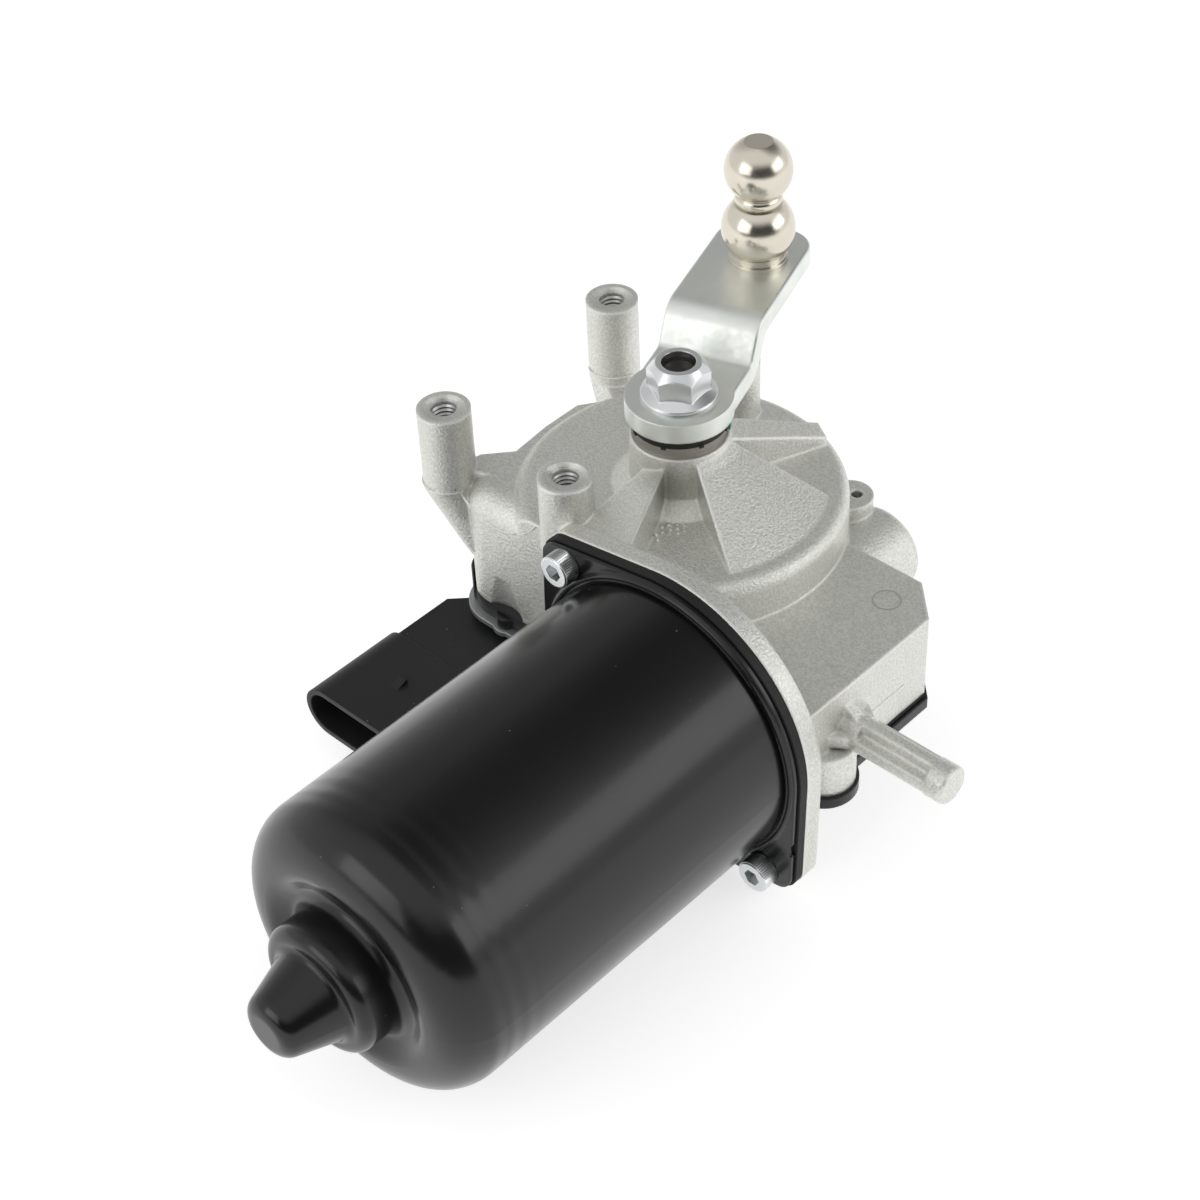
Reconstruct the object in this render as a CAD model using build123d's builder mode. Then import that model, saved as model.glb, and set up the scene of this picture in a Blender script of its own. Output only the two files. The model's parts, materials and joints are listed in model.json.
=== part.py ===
"""Wiper motor: a permanent-magnet motor in a drawn steel can drives a worm, the worm drives
a wheel in a die-cast gear housing, and the wheel's shaft carries a crank arm with a ball stud.

Millimetres. The origin is on the output shaft's axis, in the plane of the four mounting bosses.
+Z points up the shaft, the motor can lies towards -Y, and +X points away from the plug.
"""
from build123d import *
import os
from math import atan2, cos, degrees, pi, radians, sin, tan

os.makedirs("parts", exist_ok=True)

# Mounting bosses: a rectangle of tapped holes
MOUNT_SPACING_X = 42.5
MOUNT_SPACING_Y = 62.4
MOUNT_RIGHT_X = -9.0
MOUNT_FRONT_Y = -31.8
BOSS_RADIUS = 7.0
TAP_RADIUS = 3.4
TAP_DEPTH = 15.0

# Gear train
WORM_CENTRE_DISTANCE = 34.5
GEAR_MODULE = 1.25
WHEEL_TEETH = 48
WORM_TURNS = 7
TOOTH_BACKLASH = 0.30
TIP_CLEARANCE = 0.45
PRESSURE_ANGLE = 20.0
WHEEL_WIDTH = 9.0
WHEEL_HUB_RADIUS = 10.5
WHEEL_HUB_RISE = 3.6
WHEEL_WEB_INSET = 2.6
WHEEL_RIM = 4.0

# Motor
MOTOR_Z = -43.9
CAN_RADIUS = 37.9
CAN_WALL = 1.6
CAN_LENGTH = 106.1
CAN_CORNER = 12.0
DISH_RADIUS = 24.3
DISH_DEPTH = 4.5
CUP_RADIUS = 16.7
CUP_LENGTH = 9.0
NOSE_BASE_RADIUS = 11.8
NOSE_TIP_RADIUS = 7.2
NOSE_LENGTH = 14.0
FLANGE_RADIUS = 41.2
EAR_RADIUS = 5.5
EAR_OFFSET_X = 34.8
EAR_OFFSET_Z = 30.4
SCREW_CIRCLE_RADIUS = 44.3
CAN_FLANGE_THICKNESS = 1.5
CAN_FLANGE_INSET = 0.8
BEAD_RADIUS = 0.8
BEAD_CIRCLE = 39.3
CARRIER_THICKNESS = 2.5
HOUSING_FLANGE_THICKNESS = 5.0
HOUSING_FLANGE_BACK_Y = -35.9
SHAFT_RADIUS = 4.0
ARMATURE_RADIUS = 26.2
ARMATURE_LENGTH = 50.0
ARMATURE_SLOTS = 12
AIR_GAP = 0.8
MAGNET_LENGTH = 58.0
MAGNET_ARC = 120.0
COMMUTATOR_RADIUS = 11.0
COMMUTATOR_LENGTH = 12.0
RUNNING_CLEARANCE = 0.03
GAP = 0.3

# Gear housing
DOME_RADIUS = 42.5
DOME_TOP_Z = -17.0
DOME_EDGE_FILLET = 3.5
SKIRT_BOTTOM_Z = -53.7
BLOCK_RIGHT_X = 70.7
BLOCK_TOP_Z = -29.1
BLOCK_BACK_Y = 10.8
BLOCK_CORNER = 9.5
LOBE_LEFT_X = -46.2
LOBE_FRONT_Y = -35.9
LOBE_BACK_Y = 4.0
LOBE_TOP_Z = -18.5
LOBE_ROUNDING = 6.5
HOUSING_WALL = 4.0
BLOCK_WALL = 6.0
NECK_RADIUS = 12.5
SPIGOT_RADIUS = 11.6
SPIGOT_HEIGHT = 4.0
TUNNEL_BORE = 6.8
POCKET_LEFT_X = 49.0
WORM_END_RADIUS = 12.0
WORM_END_Y = 41.0
GEAR_CAVITY_RADIUS = 36.5
CAVITY_CEILING_Z = -21.5

# Output shaft and crank
OUTPUT_RADIUS = 6.0
BUSH_RADIUS = 8.0
ARM_THICKNESS = 5.2
ARM_SEAT_Z = 6.1
ARM_BORE = 5.4
ARM_HUB_RADIUS = 13.6
ARM_RISE = 9.5
ARM_ANGLE = 109.2
ARM_BEND_START = 16.5
ARM_BEND_RUN = 6.5
ARM_WIDTH = 25.5
ARM_LENGTH = 64.0
ARM_CORNER = 8.0
STUD_INSET = 15.0
STUD_SIDE = 1.7
LOWER_BALL_RADIUS = 9.5
UPPER_BALL_RADIUS = 8.75
LOWER_BALL_Z = 29.9
UPPER_BALL_Z = 46.8
STUD_NECK_RADIUS = 5.0
STUD_FOOT_RADIUS = 7.6
STUD_TOP_FLAT = 3.7
NUT_FLATS = 14.0
NUT_FLANGE_RADIUS = 9.8
NUT_HEIGHT = 9.6
NUT_TURN = 34.0
THREAD_RADIUS = 4.3

# Cover, plug and small parts
SEAL_THICKNESS = 1.5
COVER_DEPTH = 3.3
COVER_FLOOR = 1.8
SHIELD_THICKNESS = 1.5
SHIELD_OVERHANG = 0.6
LOBE_OVERHANG = 2.4
LUG_OVERHANG = 1.0
COVER_SCREW_RADIUS = 2.0
COVER_SCREW_LENGTH = 12.0
COVER_SCREW_HEAD = 3.8
SHROUD_WIDTH = 40.0
SHROUD_HEIGHT = 14.8
SHROUD_WALL = 1.6
SHROUD_LEFT_X = -58.0
SHROUD_MOUTH_Y = -83.0
SHROUD_BACK_Y = -54.0
SHROUD_FLOOR_Y = -60.0
SHROUD_STEP = 0.6
PLUG_DROP = 2.5
LATCH_WIDTH = 2.6
LATCH_HEIGHT = 1.4
TERMINALS = 4
TERMINAL_PITCH = 6.4

# Worked out from the sizes above
MOTOR_X = WORM_CENTRE_DISTANCE
WHEEL_PITCH_RADIUS = GEAR_MODULE * WHEEL_TEETH / 2
WORM_PITCH_RADIUS = WORM_CENTRE_DISTANCE - WHEEL_PITCH_RADIUS
WORM_LEAD = pi * GEAR_MODULE
WORM_LENGTH = WORM_TURNS * WORM_LEAD
WORM_TIP_RADIUS = WORM_PITCH_RADIUS + 0.8 * GEAR_MODULE
WORM_ROOT_RADIUS = WORM_PITCH_RADIUS - GEAR_MODULE - 0.1
WHEEL_TIP_RADIUS = WHEEL_PITCH_RADIUS + 0.8 * GEAR_MODULE
WHEEL_ROOT_RADIUS = WHEEL_PITCH_RADIUS - 0.8 * GEAR_MODULE - TIP_CLEARANCE
WHEEL_BOTTOM_Z = MOTOR_Z - WHEEL_WIDTH / 2
WHEEL_TOP_Z = MOTOR_Z + WHEEL_WIDTH / 2
HUB_TOP_Z = WHEEL_TOP_Z + WHEEL_HUB_RISE
flank_slope = tan(radians(PRESSURE_ANGLE))

HOUSING_FACE_Y = HOUSING_FLANGE_BACK_Y - HOUSING_FLANGE_THICKNESS
CARRIER_FACE_Y = HOUSING_FACE_Y - CARRIER_THICKNESS
CAN_FACE_Y = CARRIER_FACE_Y - CAN_FLANGE_THICKNESS
CAN_END_Y = CAN_FACE_Y - CAN_LENGTH
CUP_END_Y = CAN_END_Y - CUP_LENGTH
NOSE_TIP_Y = CUP_END_Y - NOSE_LENGTH
CAN_BORE = CAN_RADIUS - CAN_WALL
SCREW_OFFSET = SCREW_CIRCLE_RADIUS * cos(radians(45))

STUD_ALONG = ARM_LENGTH - STUD_INSET
STUD_X = STUD_ALONG * cos(radians(ARM_ANGLE)) + STUD_SIDE * sin(radians(ARM_ANGLE))
STUD_Y = STUD_ALONG * sin(radians(ARM_ANGLE)) - STUD_SIDE * cos(radians(ARM_ANGLE))
ARM_TOP_Z = ARM_SEAT_Z + ARM_THICKNESS
PLATE_TOP_Z = ARM_TOP_Z + ARM_RISE
SEAL_BOTTOM_Z = SKIRT_BOTTOM_Z - SEAL_THICKNESS
COVER_BOTTOM_Z = SEAL_BOTTOM_Z - COVER_DEPTH
SHIELD_BOTTOM_Z = COVER_BOTTOM_Z - SHIELD_THICKNESS
SHROUD_CENTRE_X = SHROUD_LEFT_X + SHROUD_WIDTH / 2
SOCKET_TOP_Z = SHIELD_BOTTOM_Z - PLUG_DROP
SHROUD_CENTRE_Z = SOCKET_TOP_Z + SHROUD_STEP - SHROUD_HEIGHT / 2

mount_points = [
    (MOUNT_RIGHT_X - MOUNT_SPACING_X, MOUNT_FRONT_Y),
    (MOUNT_RIGHT_X - MOUNT_SPACING_X, MOUNT_FRONT_Y + MOUNT_SPACING_Y),
    (MOUNT_RIGHT_X, MOUNT_FRONT_Y + MOUNT_SPACING_Y),
    (MOUNT_RIGHT_X, MOUNT_FRONT_Y),
]
flange_screw_points = [
    (MOTOR_X - SCREW_OFFSET, MOTOR_Z + SCREW_OFFSET),
    (MOTOR_X + SCREW_OFFSET, MOTOR_Z - SCREW_OFFSET),
]

ear_points = [
    (MOTOR_X - EAR_OFFSET_X, MOTOR_Z + EAR_OFFSET_Z),
    (MOTOR_X + EAR_OFFSET_X, MOTOR_Z - EAR_OFFSET_Z),
]

motor_axis = Axis((MOTOR_X, 0, MOTOR_Z), (0, 1, 0))
motor_section = Plane(origin=(MOTOR_X, 0, MOTOR_Z), x_dir=(1, 0, 0), z_dir=(0, 0, 1))
shaft_section = Plane.XZ
crank_section = Plane(
    origin=(0, 0, 0),
    x_dir=(cos(radians(ARM_ANGLE)), sin(radians(ARM_ANGLE)), 0),
    z_dir=(sin(radians(ARM_ANGLE)), -cos(radians(ARM_ANGLE)), 0),
)


def across(y):
    """The plane across the motor at y, facing the can's closed end; its local axes are X and Z."""
    return Plane.XZ.offset(-y)


def level(z):
    return Plane.XY.offset(z)


def motor_half_plane(angle):
    """Half plane through the motor's axis; angle is measured from +X towards +Z."""
    out = (cos(radians(angle)), 0, sin(radians(angle)))
    return Plane(origin=(MOTOR_X, 0, MOTOR_Z), x_dir=out, z_dir=(-out[2], 0, out[0]))


def polar(radius, angle):
    return (radius * cos(radians(angle)), radius * sin(radians(angle)))


def flange_outline(inset=0.0):
    """Round flange with two screw ears on a diagonal, joined by straight tangents."""
    with BuildSketch() as outline:
        with Locations((MOTOR_X, MOTOR_Z)):
            Circle(FLANGE_RADIUS - inset)
        with Locations(*ear_points):
            Circle(EAR_RADIUS - inset)
        make_hull()
    return outline.sketch


cover_lug = (MOUNT_RIGHT_X - 21.6, LOBE_FRONT_Y + 0.8)
LUG_RADIUS = 2.9
corner_boss = (BLOCK_RIGHT_X - 3.2, HOUSING_FLANGE_BACK_Y + 11.0)
CORNER_BOSS_RADIUS = 8.0
CORNER_BOSS_TOP_Z = -45.0
CORNER_BOSS_DROP = 3.3
CORNER_BOSS_BOTTOM_Z = SKIRT_BOTTOM_Z - CORNER_BOSS_DROP
CORNER_DISC_RADIUS = 8.8
CORNER_DISC_DEPTH = 3.3
COVER_SLIP = 0.15


def block_outline(inset=0.0):
    with BuildSketch() as outline:
        with BuildLine():
            Polyline(
                (0, HOUSING_FLANGE_BACK_Y + inset),
                (BLOCK_RIGHT_X - inset, HOUSING_FLANGE_BACK_Y + inset),
                (BLOCK_RIGHT_X - inset, BLOCK_BACK_Y - 0.4 * inset),
                (BLOCK_RIGHT_X - BLOCK_CORNER - 0.4 * inset, BLOCK_BACK_Y + BLOCK_CORNER - inset),
                (0, BLOCK_BACK_Y + BLOCK_CORNER - inset),
                close=True,
            )
        make_face()
    return outline.sketch


def lobe_outline(inset=0.0):
    """The left side that holds the switch contacts, with two rounded outer corners."""
    with BuildSketch() as outline:
        with BuildLine():
            FilletPolyline(
                (0, LOBE_FRONT_Y + inset),
                (LOBE_LEFT_X + inset, LOBE_FRONT_Y + inset),
                (LOBE_LEFT_X + inset, LOBE_BACK_Y - inset),
                (0, LOBE_BACK_Y + 18.0 - inset),
                radius=[9.0 - inset, 10.0 - inset],
            )
            Line((0, LOBE_BACK_Y + 18.0 - inset), (0, LOBE_FRONT_Y + inset))
        make_face()
    return outline.sketch


def skirt_outline(inset=0.0):
    """Plan of the open underside, shared by the housing, seal, cover and shield."""
    with BuildSketch() as outline:
        Circle(DOME_RADIUS - inset)
        with Locations((0, HOUSING_FLANGE_BACK_Y + inset)):
            Rectangle(200.0, 60.0, align=(Align.CENTER, Align.MAX), mode=Mode.SUBTRACT)
        add(block_outline(inset))
        add(lobe_outline(inset))
        with Locations(corner_boss):
            Circle(CORNER_BOSS_RADIUS - inset)
    return outline.sketch


def skirt_void():
    """Plan of the hollow inside the cover and its seal."""
    with BuildSketch() as outline:
        Circle(GEAR_CAVITY_RADIUS)
        with Locations((0, HOUSING_FLANGE_BACK_Y + HOUSING_WALL)):
            Rectangle(200.0, 60.0, align=(Align.CENTER, Align.MAX), mode=Mode.SUBTRACT)
        add(lobe_outline(HOUSING_WALL))
        add(block_outline(BLOCK_WALL))
        with Locations(*cover_screw_points):
            Circle(COVER_SCREW_RADIUS + 2.2, mode=Mode.SUBTRACT)
        with Locations(corner_boss):
            Circle(CORNER_BOSS_RADIUS + 2.0, mode=Mode.SUBTRACT)
    return outline.sketch


WALL_SCREW_RADIUS = DOME_RADIUS - 3.4
cover_screw_points = [
    corner_boss,
    (BLOCK_RIGHT_X - 6.0, BLOCK_BACK_Y - 1.5),
    polar(WALL_SCREW_RADIUS, 88.0),
    polar(WALL_SCREW_RADIUS, 138.0),
    (LOBE_LEFT_X + 6.0, LOBE_BACK_Y - 12.0),
]

# Gear housing
FAN_START = -30.0
FAN_SWEEP = 62.0
FAN_TOP_Z = -1.5
FAN_EDGE_Z = -17.5
FAN_DROP = 2.0
RIB_START = -96.0
RIB_SWEEP = 30.0
RIDGE_ANGLE = 68.0
RIDGE_WIDTH = 7.0
NOTCH_RADIUS = 9.0
NOTCH_DEPTH = 2.2
NOTCH_HEIGHT = 10.5
PIN_LENGTH = 31.3
PIN_RADIUS = 5.0
PIN_Y = -19.7
PIN_Z = -42.5
PIN_CORE = 2.6
PIN_GROOVE_START = 5.5
PIN_SOLID_TIP = 5.5
PIN_TIP_FILLET = 1.2
PIN_GROOVE_SPREAD = 32.0
GUSSET_THICKNESS = 3.6
GUSSET_REACH = 11.0
GUSSET_HEIGHT = 8.2
pin_section = Plane(origin=(BLOCK_RIGHT_X, PIN_Y, PIN_Z), x_dir=(0, 1, 0), z_dir=(1, 0, 0))
POST_FOOT_Z = -24.0
FOOT_END_Z = -44.0
WEB_THICKNESS = 6.0
WEB_LEFT_X = -43.8
BEARING_RADIUS = 8.0
BEARING_WIDTH = 5.0
END_BUSH_RADIUS = 5.0
END_BUSH_START_Y = 26.0
END_BUSH_LENGTH = 8.0
JOURNAL_RADIUS = 3.5
JOURNAL_END_Y = END_BUSH_START_Y + END_BUSH_LENGTH + 0.5
THRUST_BUTTON_LENGTH = 2.2
NECK_FOOT_Z = -34.0

with BuildPart() as gear_housing:
    # Dome over the wheel, turned about the output shaft
    with BuildSketch(shaft_section):
        with BuildLine():
            Polyline(
                (0, SKIRT_BOTTOM_Z),
                (DOME_RADIUS, SKIRT_BOTTOM_Z),
                (DOME_RADIUS, DOME_TOP_Z),
                (NECK_RADIUS + 5.0, DOME_TOP_Z + 1.6),
                (NECK_RADIUS + 0.6, DOME_TOP_Z + 5.0),
                (NECK_RADIUS, 0),
                (0, 0),
                close=True,
            )
        make_face()
    revolve(axis=Axis.Z)
    dome_edge = gear_housing.edges().filter_by(GeomType.CIRCLE).filter_by(
        lambda e: abs(e.radius - DOME_RADIUS) < 0.01 and abs(e.center().Z - DOME_TOP_Z) < 0.01
    )
    fillet(dome_edge, DOME_EDGE_FILLET)
    # Raised fan on the worm's side, a cone from the neck to the dome's edge
    with BuildSketch(Plane.XZ.rotated((0, 0, FAN_START))):
        with BuildLine():
            Polyline(
                (0, DOME_TOP_Z - 8.0),
                (DOME_RADIUS - 1.0, DOME_TOP_Z - 8.0),
                (DOME_RADIUS - 1.0, FAN_EDGE_Z - 2.0),
                (DOME_RADIUS - 3.5, FAN_EDGE_Z),
                (NECK_RADIUS + 2.6, FAN_TOP_Z - FAN_DROP),
                (NECK_RADIUS, FAN_TOP_Z),
                (0, FAN_TOP_Z),
                close=True,
            )
        make_face()
    revolve(axis=Axis.Z, revolution_arc=FAN_SWEEP)
    # Block over the worm
    with BuildSketch(level(SKIRT_BOTTOM_Z)):
        add(block_outline())
    extrude(amount=BLOCK_TOP_Z - SKIRT_BOTTOM_Z)
    # Rounded end over the worm's far bearing
    with BuildSketch(motor_section):
        with BuildLine():
            FilletPolyline(
                (0, WORM_END_Y),
                (WORM_END_RADIUS, WORM_END_Y),
                (WORM_END_RADIUS, BLOCK_BACK_Y),
                radius=3.0,
            )
            Polyline((WORM_END_RADIUS, BLOCK_BACK_Y), (0, BLOCK_BACK_Y), (0, WORM_END_Y))
        make_face()
    revolve(axis=motor_axis)
    # Corner boss beside the pin
    with BuildSketch(level(SKIRT_BOTTOM_Z)):
        with Locations(corner_boss):
            Circle(CORNER_BOSS_RADIUS)
    extrude(amount=CORNER_BOSS_TOP_Z - SKIRT_BOTTOM_Z)

with BuildPart() as lobe_body:
    with BuildSketch(level(SKIRT_BOTTOM_Z)):
        add(lobe_outline())
    extrude(amount=LOBE_TOP_Z - SKIRT_BOTTOM_Z)
    lobe_rim = lobe_body.faces().sort_by(Axis.Z)[-1].edges().sort_by(Axis.X)[:-1]
    fillet(lobe_rim, LOBE_ROUNDING)

with gear_housing:
    # Flat front for the motor
    split(bisect_by=across(HOUSING_FLANGE_BACK_Y), keep=Keep.BOTTOM)
    add(lobe_body.part)
    # Web from the front left boss to the dome
    with BuildSketch(level(LOBE_TOP_Z - WEB_THICKNESS)):
        with BuildLine():
            Polyline(
                (mount_points[0][0] + 1.0, mount_points[0][1]),
                (mount_points[0][0] + 3.0, mount_points[0][1] + 8.5),
                (mount_points[0][0] + 9.0, mount_points[0][1] + 15.3),
                (WEB_LEFT_X, -4.0),
                (WEB_LEFT_X, 8.0),
                polar(DOME_RADIUS - 2.0, 150.0),
                (0, 0),
                (mount_points[0][0] + 15.5, mount_points[0][1] + 6.3),
                close=True,
            )
        make_face()
    extrude(amount=WEB_THICKNESS)
    # Mounting posts
    with BuildSketch(level(0)):
        with Locations(*mount_points):
            Circle(BOSS_RADIUS)
    extrude(amount=POST_FOOT_Z)
    # Foot of the front left post leans in to the lobe's corner in two steps
    for foot_z, foot_centre, foot_radius in [
        (POST_FOOT_Z, mount_points[0], BOSS_RADIUS),
        (FOOT_END_Z + 5.5, (LOBE_LEFT_X + 3.4, LOBE_FRONT_Y + 6.7), BOSS_RADIUS - 0.5),
        (FOOT_END_Z, (LOBE_LEFT_X + 7.0, LOBE_FRONT_Y + 7.5), BOSS_RADIUS - 1.2),
    ]:
        with BuildSketch(level(foot_z)):
            with Locations(foot_centre):
                Circle(foot_radius)
    loft(ruled=True)
    # Foot of the back left post leans in to the dome, with a gusset beside it
    back_foot = polar(DOME_RADIUS - 6.0, 150.0)
    with BuildSketch(level(POST_FOOT_Z)):
        with Locations(mount_points[1]):
            Circle(BOSS_RADIUS)
    with BuildSketch(level(SKIRT_BOTTOM_Z + 6.0)):
        with Locations(back_foot):
            Circle(BOSS_RADIUS - 1.0)
    loft()
    with BuildSketch(level(POST_FOOT_Z - 8.0)):
        with BuildLine():
            Polyline(mount_points[1], back_foot, polar(DOME_RADIUS - 20.0, 150.0))
            offset(amount=4.0, side=Side.BOTH, kind=Kind.ARC)
        make_face()
    extrude(amount=8.0)
    # Motor flange
    with BuildSketch(across(HOUSING_FLANGE_BACK_Y)):
        add(flange_outline())
    extrude(amount=HOUSING_FLANGE_THICKNESS)
    # Wall behind the flange, from the block and dome up to its rim
    with BuildSketch(across(HOUSING_FLANGE_BACK_Y + 4.0)):
        with Locations((MOTOR_X, MOTOR_Z)):
            Circle(FLANGE_RADIUS - 9.0)
        with Locations((MOTOR_X, MOTOR_Z - 40.0)):
            Rectangle(2 * FLANGE_RADIUS, 62.0, mode=Mode.SUBTRACT)
    extrude(amount=4.0)

# The left rib: a broad wedge that runs from the neck to the flange's rim
with BuildPart() as left_rib:
    with BuildSketch(Plane.XZ.rotated((0, 0, RIB_START))):
        with BuildLine():
            Polyline(
                (NECK_RADIUS - 3.0, DOME_TOP_Z - 6.0),
                (DOME_RADIUS - 6.0, DOME_TOP_Z - 6.0),
                (DOME_RADIUS - 6.0, -12.0),
                (NECK_RADIUS + 2.0, -6.0),
                (NECK_RADIUS - 3.0, -4.0),
                close=True,
            )
        make_face()
    with BuildSketch(Plane.XZ.rotated((0, 0, RIB_START + RIB_SWEEP))):
        with BuildLine():
            Polyline(
                (NECK_RADIUS - 3.0, DOME_TOP_Z - 6.0),
                (DOME_RADIUS - 2.5, DOME_TOP_Z - 6.0),
                (DOME_RADIUS - 2.5, -5.4),
                (NECK_RADIUS + 2.0, -3.2),
                (NECK_RADIUS - 3.0, -2.0),
                close=True,
            )
        make_face()
    loft()

# The ridge on the far side of the fan
with BuildPart() as far_ridge:
    with BuildSketch(Plane.XY.offset(DOME_TOP_Z - 2.0)):
        with BuildLine():
            Polyline(
                polar(NECK_RADIUS - 2.0, RIDGE_ANGLE + 8.0),
                polar(DOME_RADIUS - 2.5, RIDGE_ANGLE + 2.0),
                polar(DOME_RADIUS - 2.5, RIDGE_ANGLE - 5.0),
                polar(NECK_RADIUS - 2.0, RIDGE_ANGLE - 34.0),
                close=True,
            )
        make_face()
    extrude(amount=18.0)
    ridge_top = Plane(
        origin=(*polar(NECK_RADIUS, RIDGE_ANGLE), -2.0),
        x_dir=(sin(radians(RIDGE_ANGLE)), -cos(radians(RIDGE_ANGLE)), -0.28),
        z_dir=Vector(*polar(1.0, RIDGE_ANGLE), -0.42).cross(
            Vector(sin(radians(RIDGE_ANGLE)), -cos(radians(RIDGE_ANGLE)), -0.28)
        ) * -1,
    )
    split(bisect_by=ridge_top, keep=Keep.BOTTOM if ridge_top.z_dir.Z > 0 else Keep.TOP)

with gear_housing:
    add(left_rib.part)
    add(far_ridge.part)
    # Locating pin with its gussets
    with BuildSketch(pin_section.offset(-3.0)):
        Circle(PIN_RADIUS)
    extrude(amount=PIN_LENGTH + 3.0)
    pin_rim = gear_housing.edges().filter_by(GeomType.CIRCLE).filter_by(
        lambda e: abs(e.center().X - BLOCK_RIGHT_X - PIN_LENGTH) < 0.01
    )
    fillet(pin_rim, PIN_TIP_FILLET)
    # Four grooves along the pin leave a cross that ends short of its tip
    with BuildSketch(pin_section.offset(PIN_GROOVE_START)):
        for groove_angle in (45.0, 135.0, 225.0, 315.0):
            with BuildLine():
                Polyline(
                    polar(PIN_CORE, groove_angle),
                    polar(PIN_RADIUS + 2.0, groove_angle - PIN_GROOVE_SPREAD),
                    polar(PIN_RADIUS + 2.0, groove_angle + PIN_GROOVE_SPREAD),
                    close=True,
                )
            make_face()
    extrude(amount=PIN_LENGTH - PIN_SOLID_TIP - PIN_GROOVE_START, mode=Mode.SUBTRACT)
    with BuildSketch(Plane.XY.offset(PIN_Z)):
        with BuildLine():
            Polyline(
                (BLOCK_RIGHT_X - 1.0, PIN_Y + GUSSET_HEIGHT),
                (BLOCK_RIGHT_X + GUSSET_REACH, PIN_Y),
                (BLOCK_RIGHT_X - 1.0, PIN_Y - GUSSET_HEIGHT),
                close=True,
            )
        make_face()
    extrude(amount=GUSSET_THICKNESS / 2, both=True)
    with BuildSketch(Plane.XZ.offset(-PIN_Y)):
        with BuildLine():
            Polyline(
                (BLOCK_RIGHT_X - 1.0, PIN_Z + GUSSET_HEIGHT),
                (BLOCK_RIGHT_X + GUSSET_REACH, PIN_Z),
                (BLOCK_RIGHT_X - 1.0, PIN_Z - GUSSET_HEIGHT),
                close=True,
            )
        make_face()
    extrude(amount=GUSSET_THICKNESS / 2, both=True)
    # Machined spigot on the neck
    with BuildSketch(level(0)):
        Circle(SPIGOT_RADIUS)
    extrude(amount=SPIGOT_HEIGHT)
    # Small ear with a hole beside the worm's end
    with BuildSketch(level(-35.0)):
        with Locations(polar(DOME_RADIUS + 1.5, 52.0)):
            Circle(6.0)
    extrude(amount=7.0)

    # Wheel chamber, with the neck left standing inside it
    with BuildSketch(level(SKIRT_BOTTOM_Z)) as chamber:
        Circle(GEAR_CAVITY_RADIUS)
        with Locations((0, HOUSING_FLANGE_BACK_Y + HOUSING_WALL)):
            Rectangle(200.0, 60.0, align=(Align.CENTER, Align.MAX), mode=Mode.SUBTRACT)
        Circle(NECK_RADIUS, mode=Mode.SUBTRACT)
    extrude(amount=CAVITY_CEILING_Z - SKIRT_BOTTOM_Z, mode=Mode.SUBTRACT)
    with BuildSketch(level(SKIRT_BOTTOM_Z)):
        Circle(NECK_RADIUS + 1.0)
    extrude(amount=NECK_FOOT_Z - SKIRT_BOTTOM_Z, mode=Mode.SUBTRACT)
    # Blind pocket in the block, beside the worm
    with BuildSketch(level(SKIRT_BOTTOM_Z)):
        with Locations(((POCKET_LEFT_X + BLOCK_RIGHT_X - BLOCK_WALL) / 2, -11.0)):
            RectangleRounded(BLOCK_RIGHT_X - BLOCK_WALL - POCKET_LEFT_X, 36.0, 3.0)
    extrude(amount=BLOCK_TOP_Z - SKIRT_BOTTOM_Z - HOUSING_WALL, mode=Mode.SUBTRACT)
    # Switch chamber in the left lobe
    with BuildSketch(level(SKIRT_BOTTOM_Z)):
        add(lobe_outline(HOUSING_WALL))
        Circle(NECK_RADIUS + 2.0, mode=Mode.SUBTRACT)
        with Locations(cover_screw_points[4]):
            Circle(COVER_SCREW_RADIUS + 2.6, mode=Mode.SUBTRACT)
    extrude(amount=22.0, mode=Mode.SUBTRACT)

# The tunnel's wall stands inside the wheel chamber, open where the wheel meets the worm
with BuildPart() as tunnel_wall:
    with BuildSketch(across(HOUSING_FLANGE_BACK_Y)):
        with Locations((MOTOR_X, MOTOR_Z)):
            Circle(TUNNEL_BORE + 3.0)
    extrude(amount=HOUSING_FLANGE_BACK_Y - WORM_END_Y + 4.0)
    with BuildSketch(level(WHEEL_BOTTOM_Z - 1.0)):
        Circle(WHEEL_TIP_RADIUS + 1.5)
    extrude(amount=WHEEL_WIDTH + 2.0, mode=Mode.SUBTRACT)
    with BuildSketch(level(SKIRT_BOTTOM_Z)):
        Circle(GEAR_CAVITY_RADIUS - 3.0)
    extrude(amount=40.0, mode=Mode.SUBTRACT)

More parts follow.
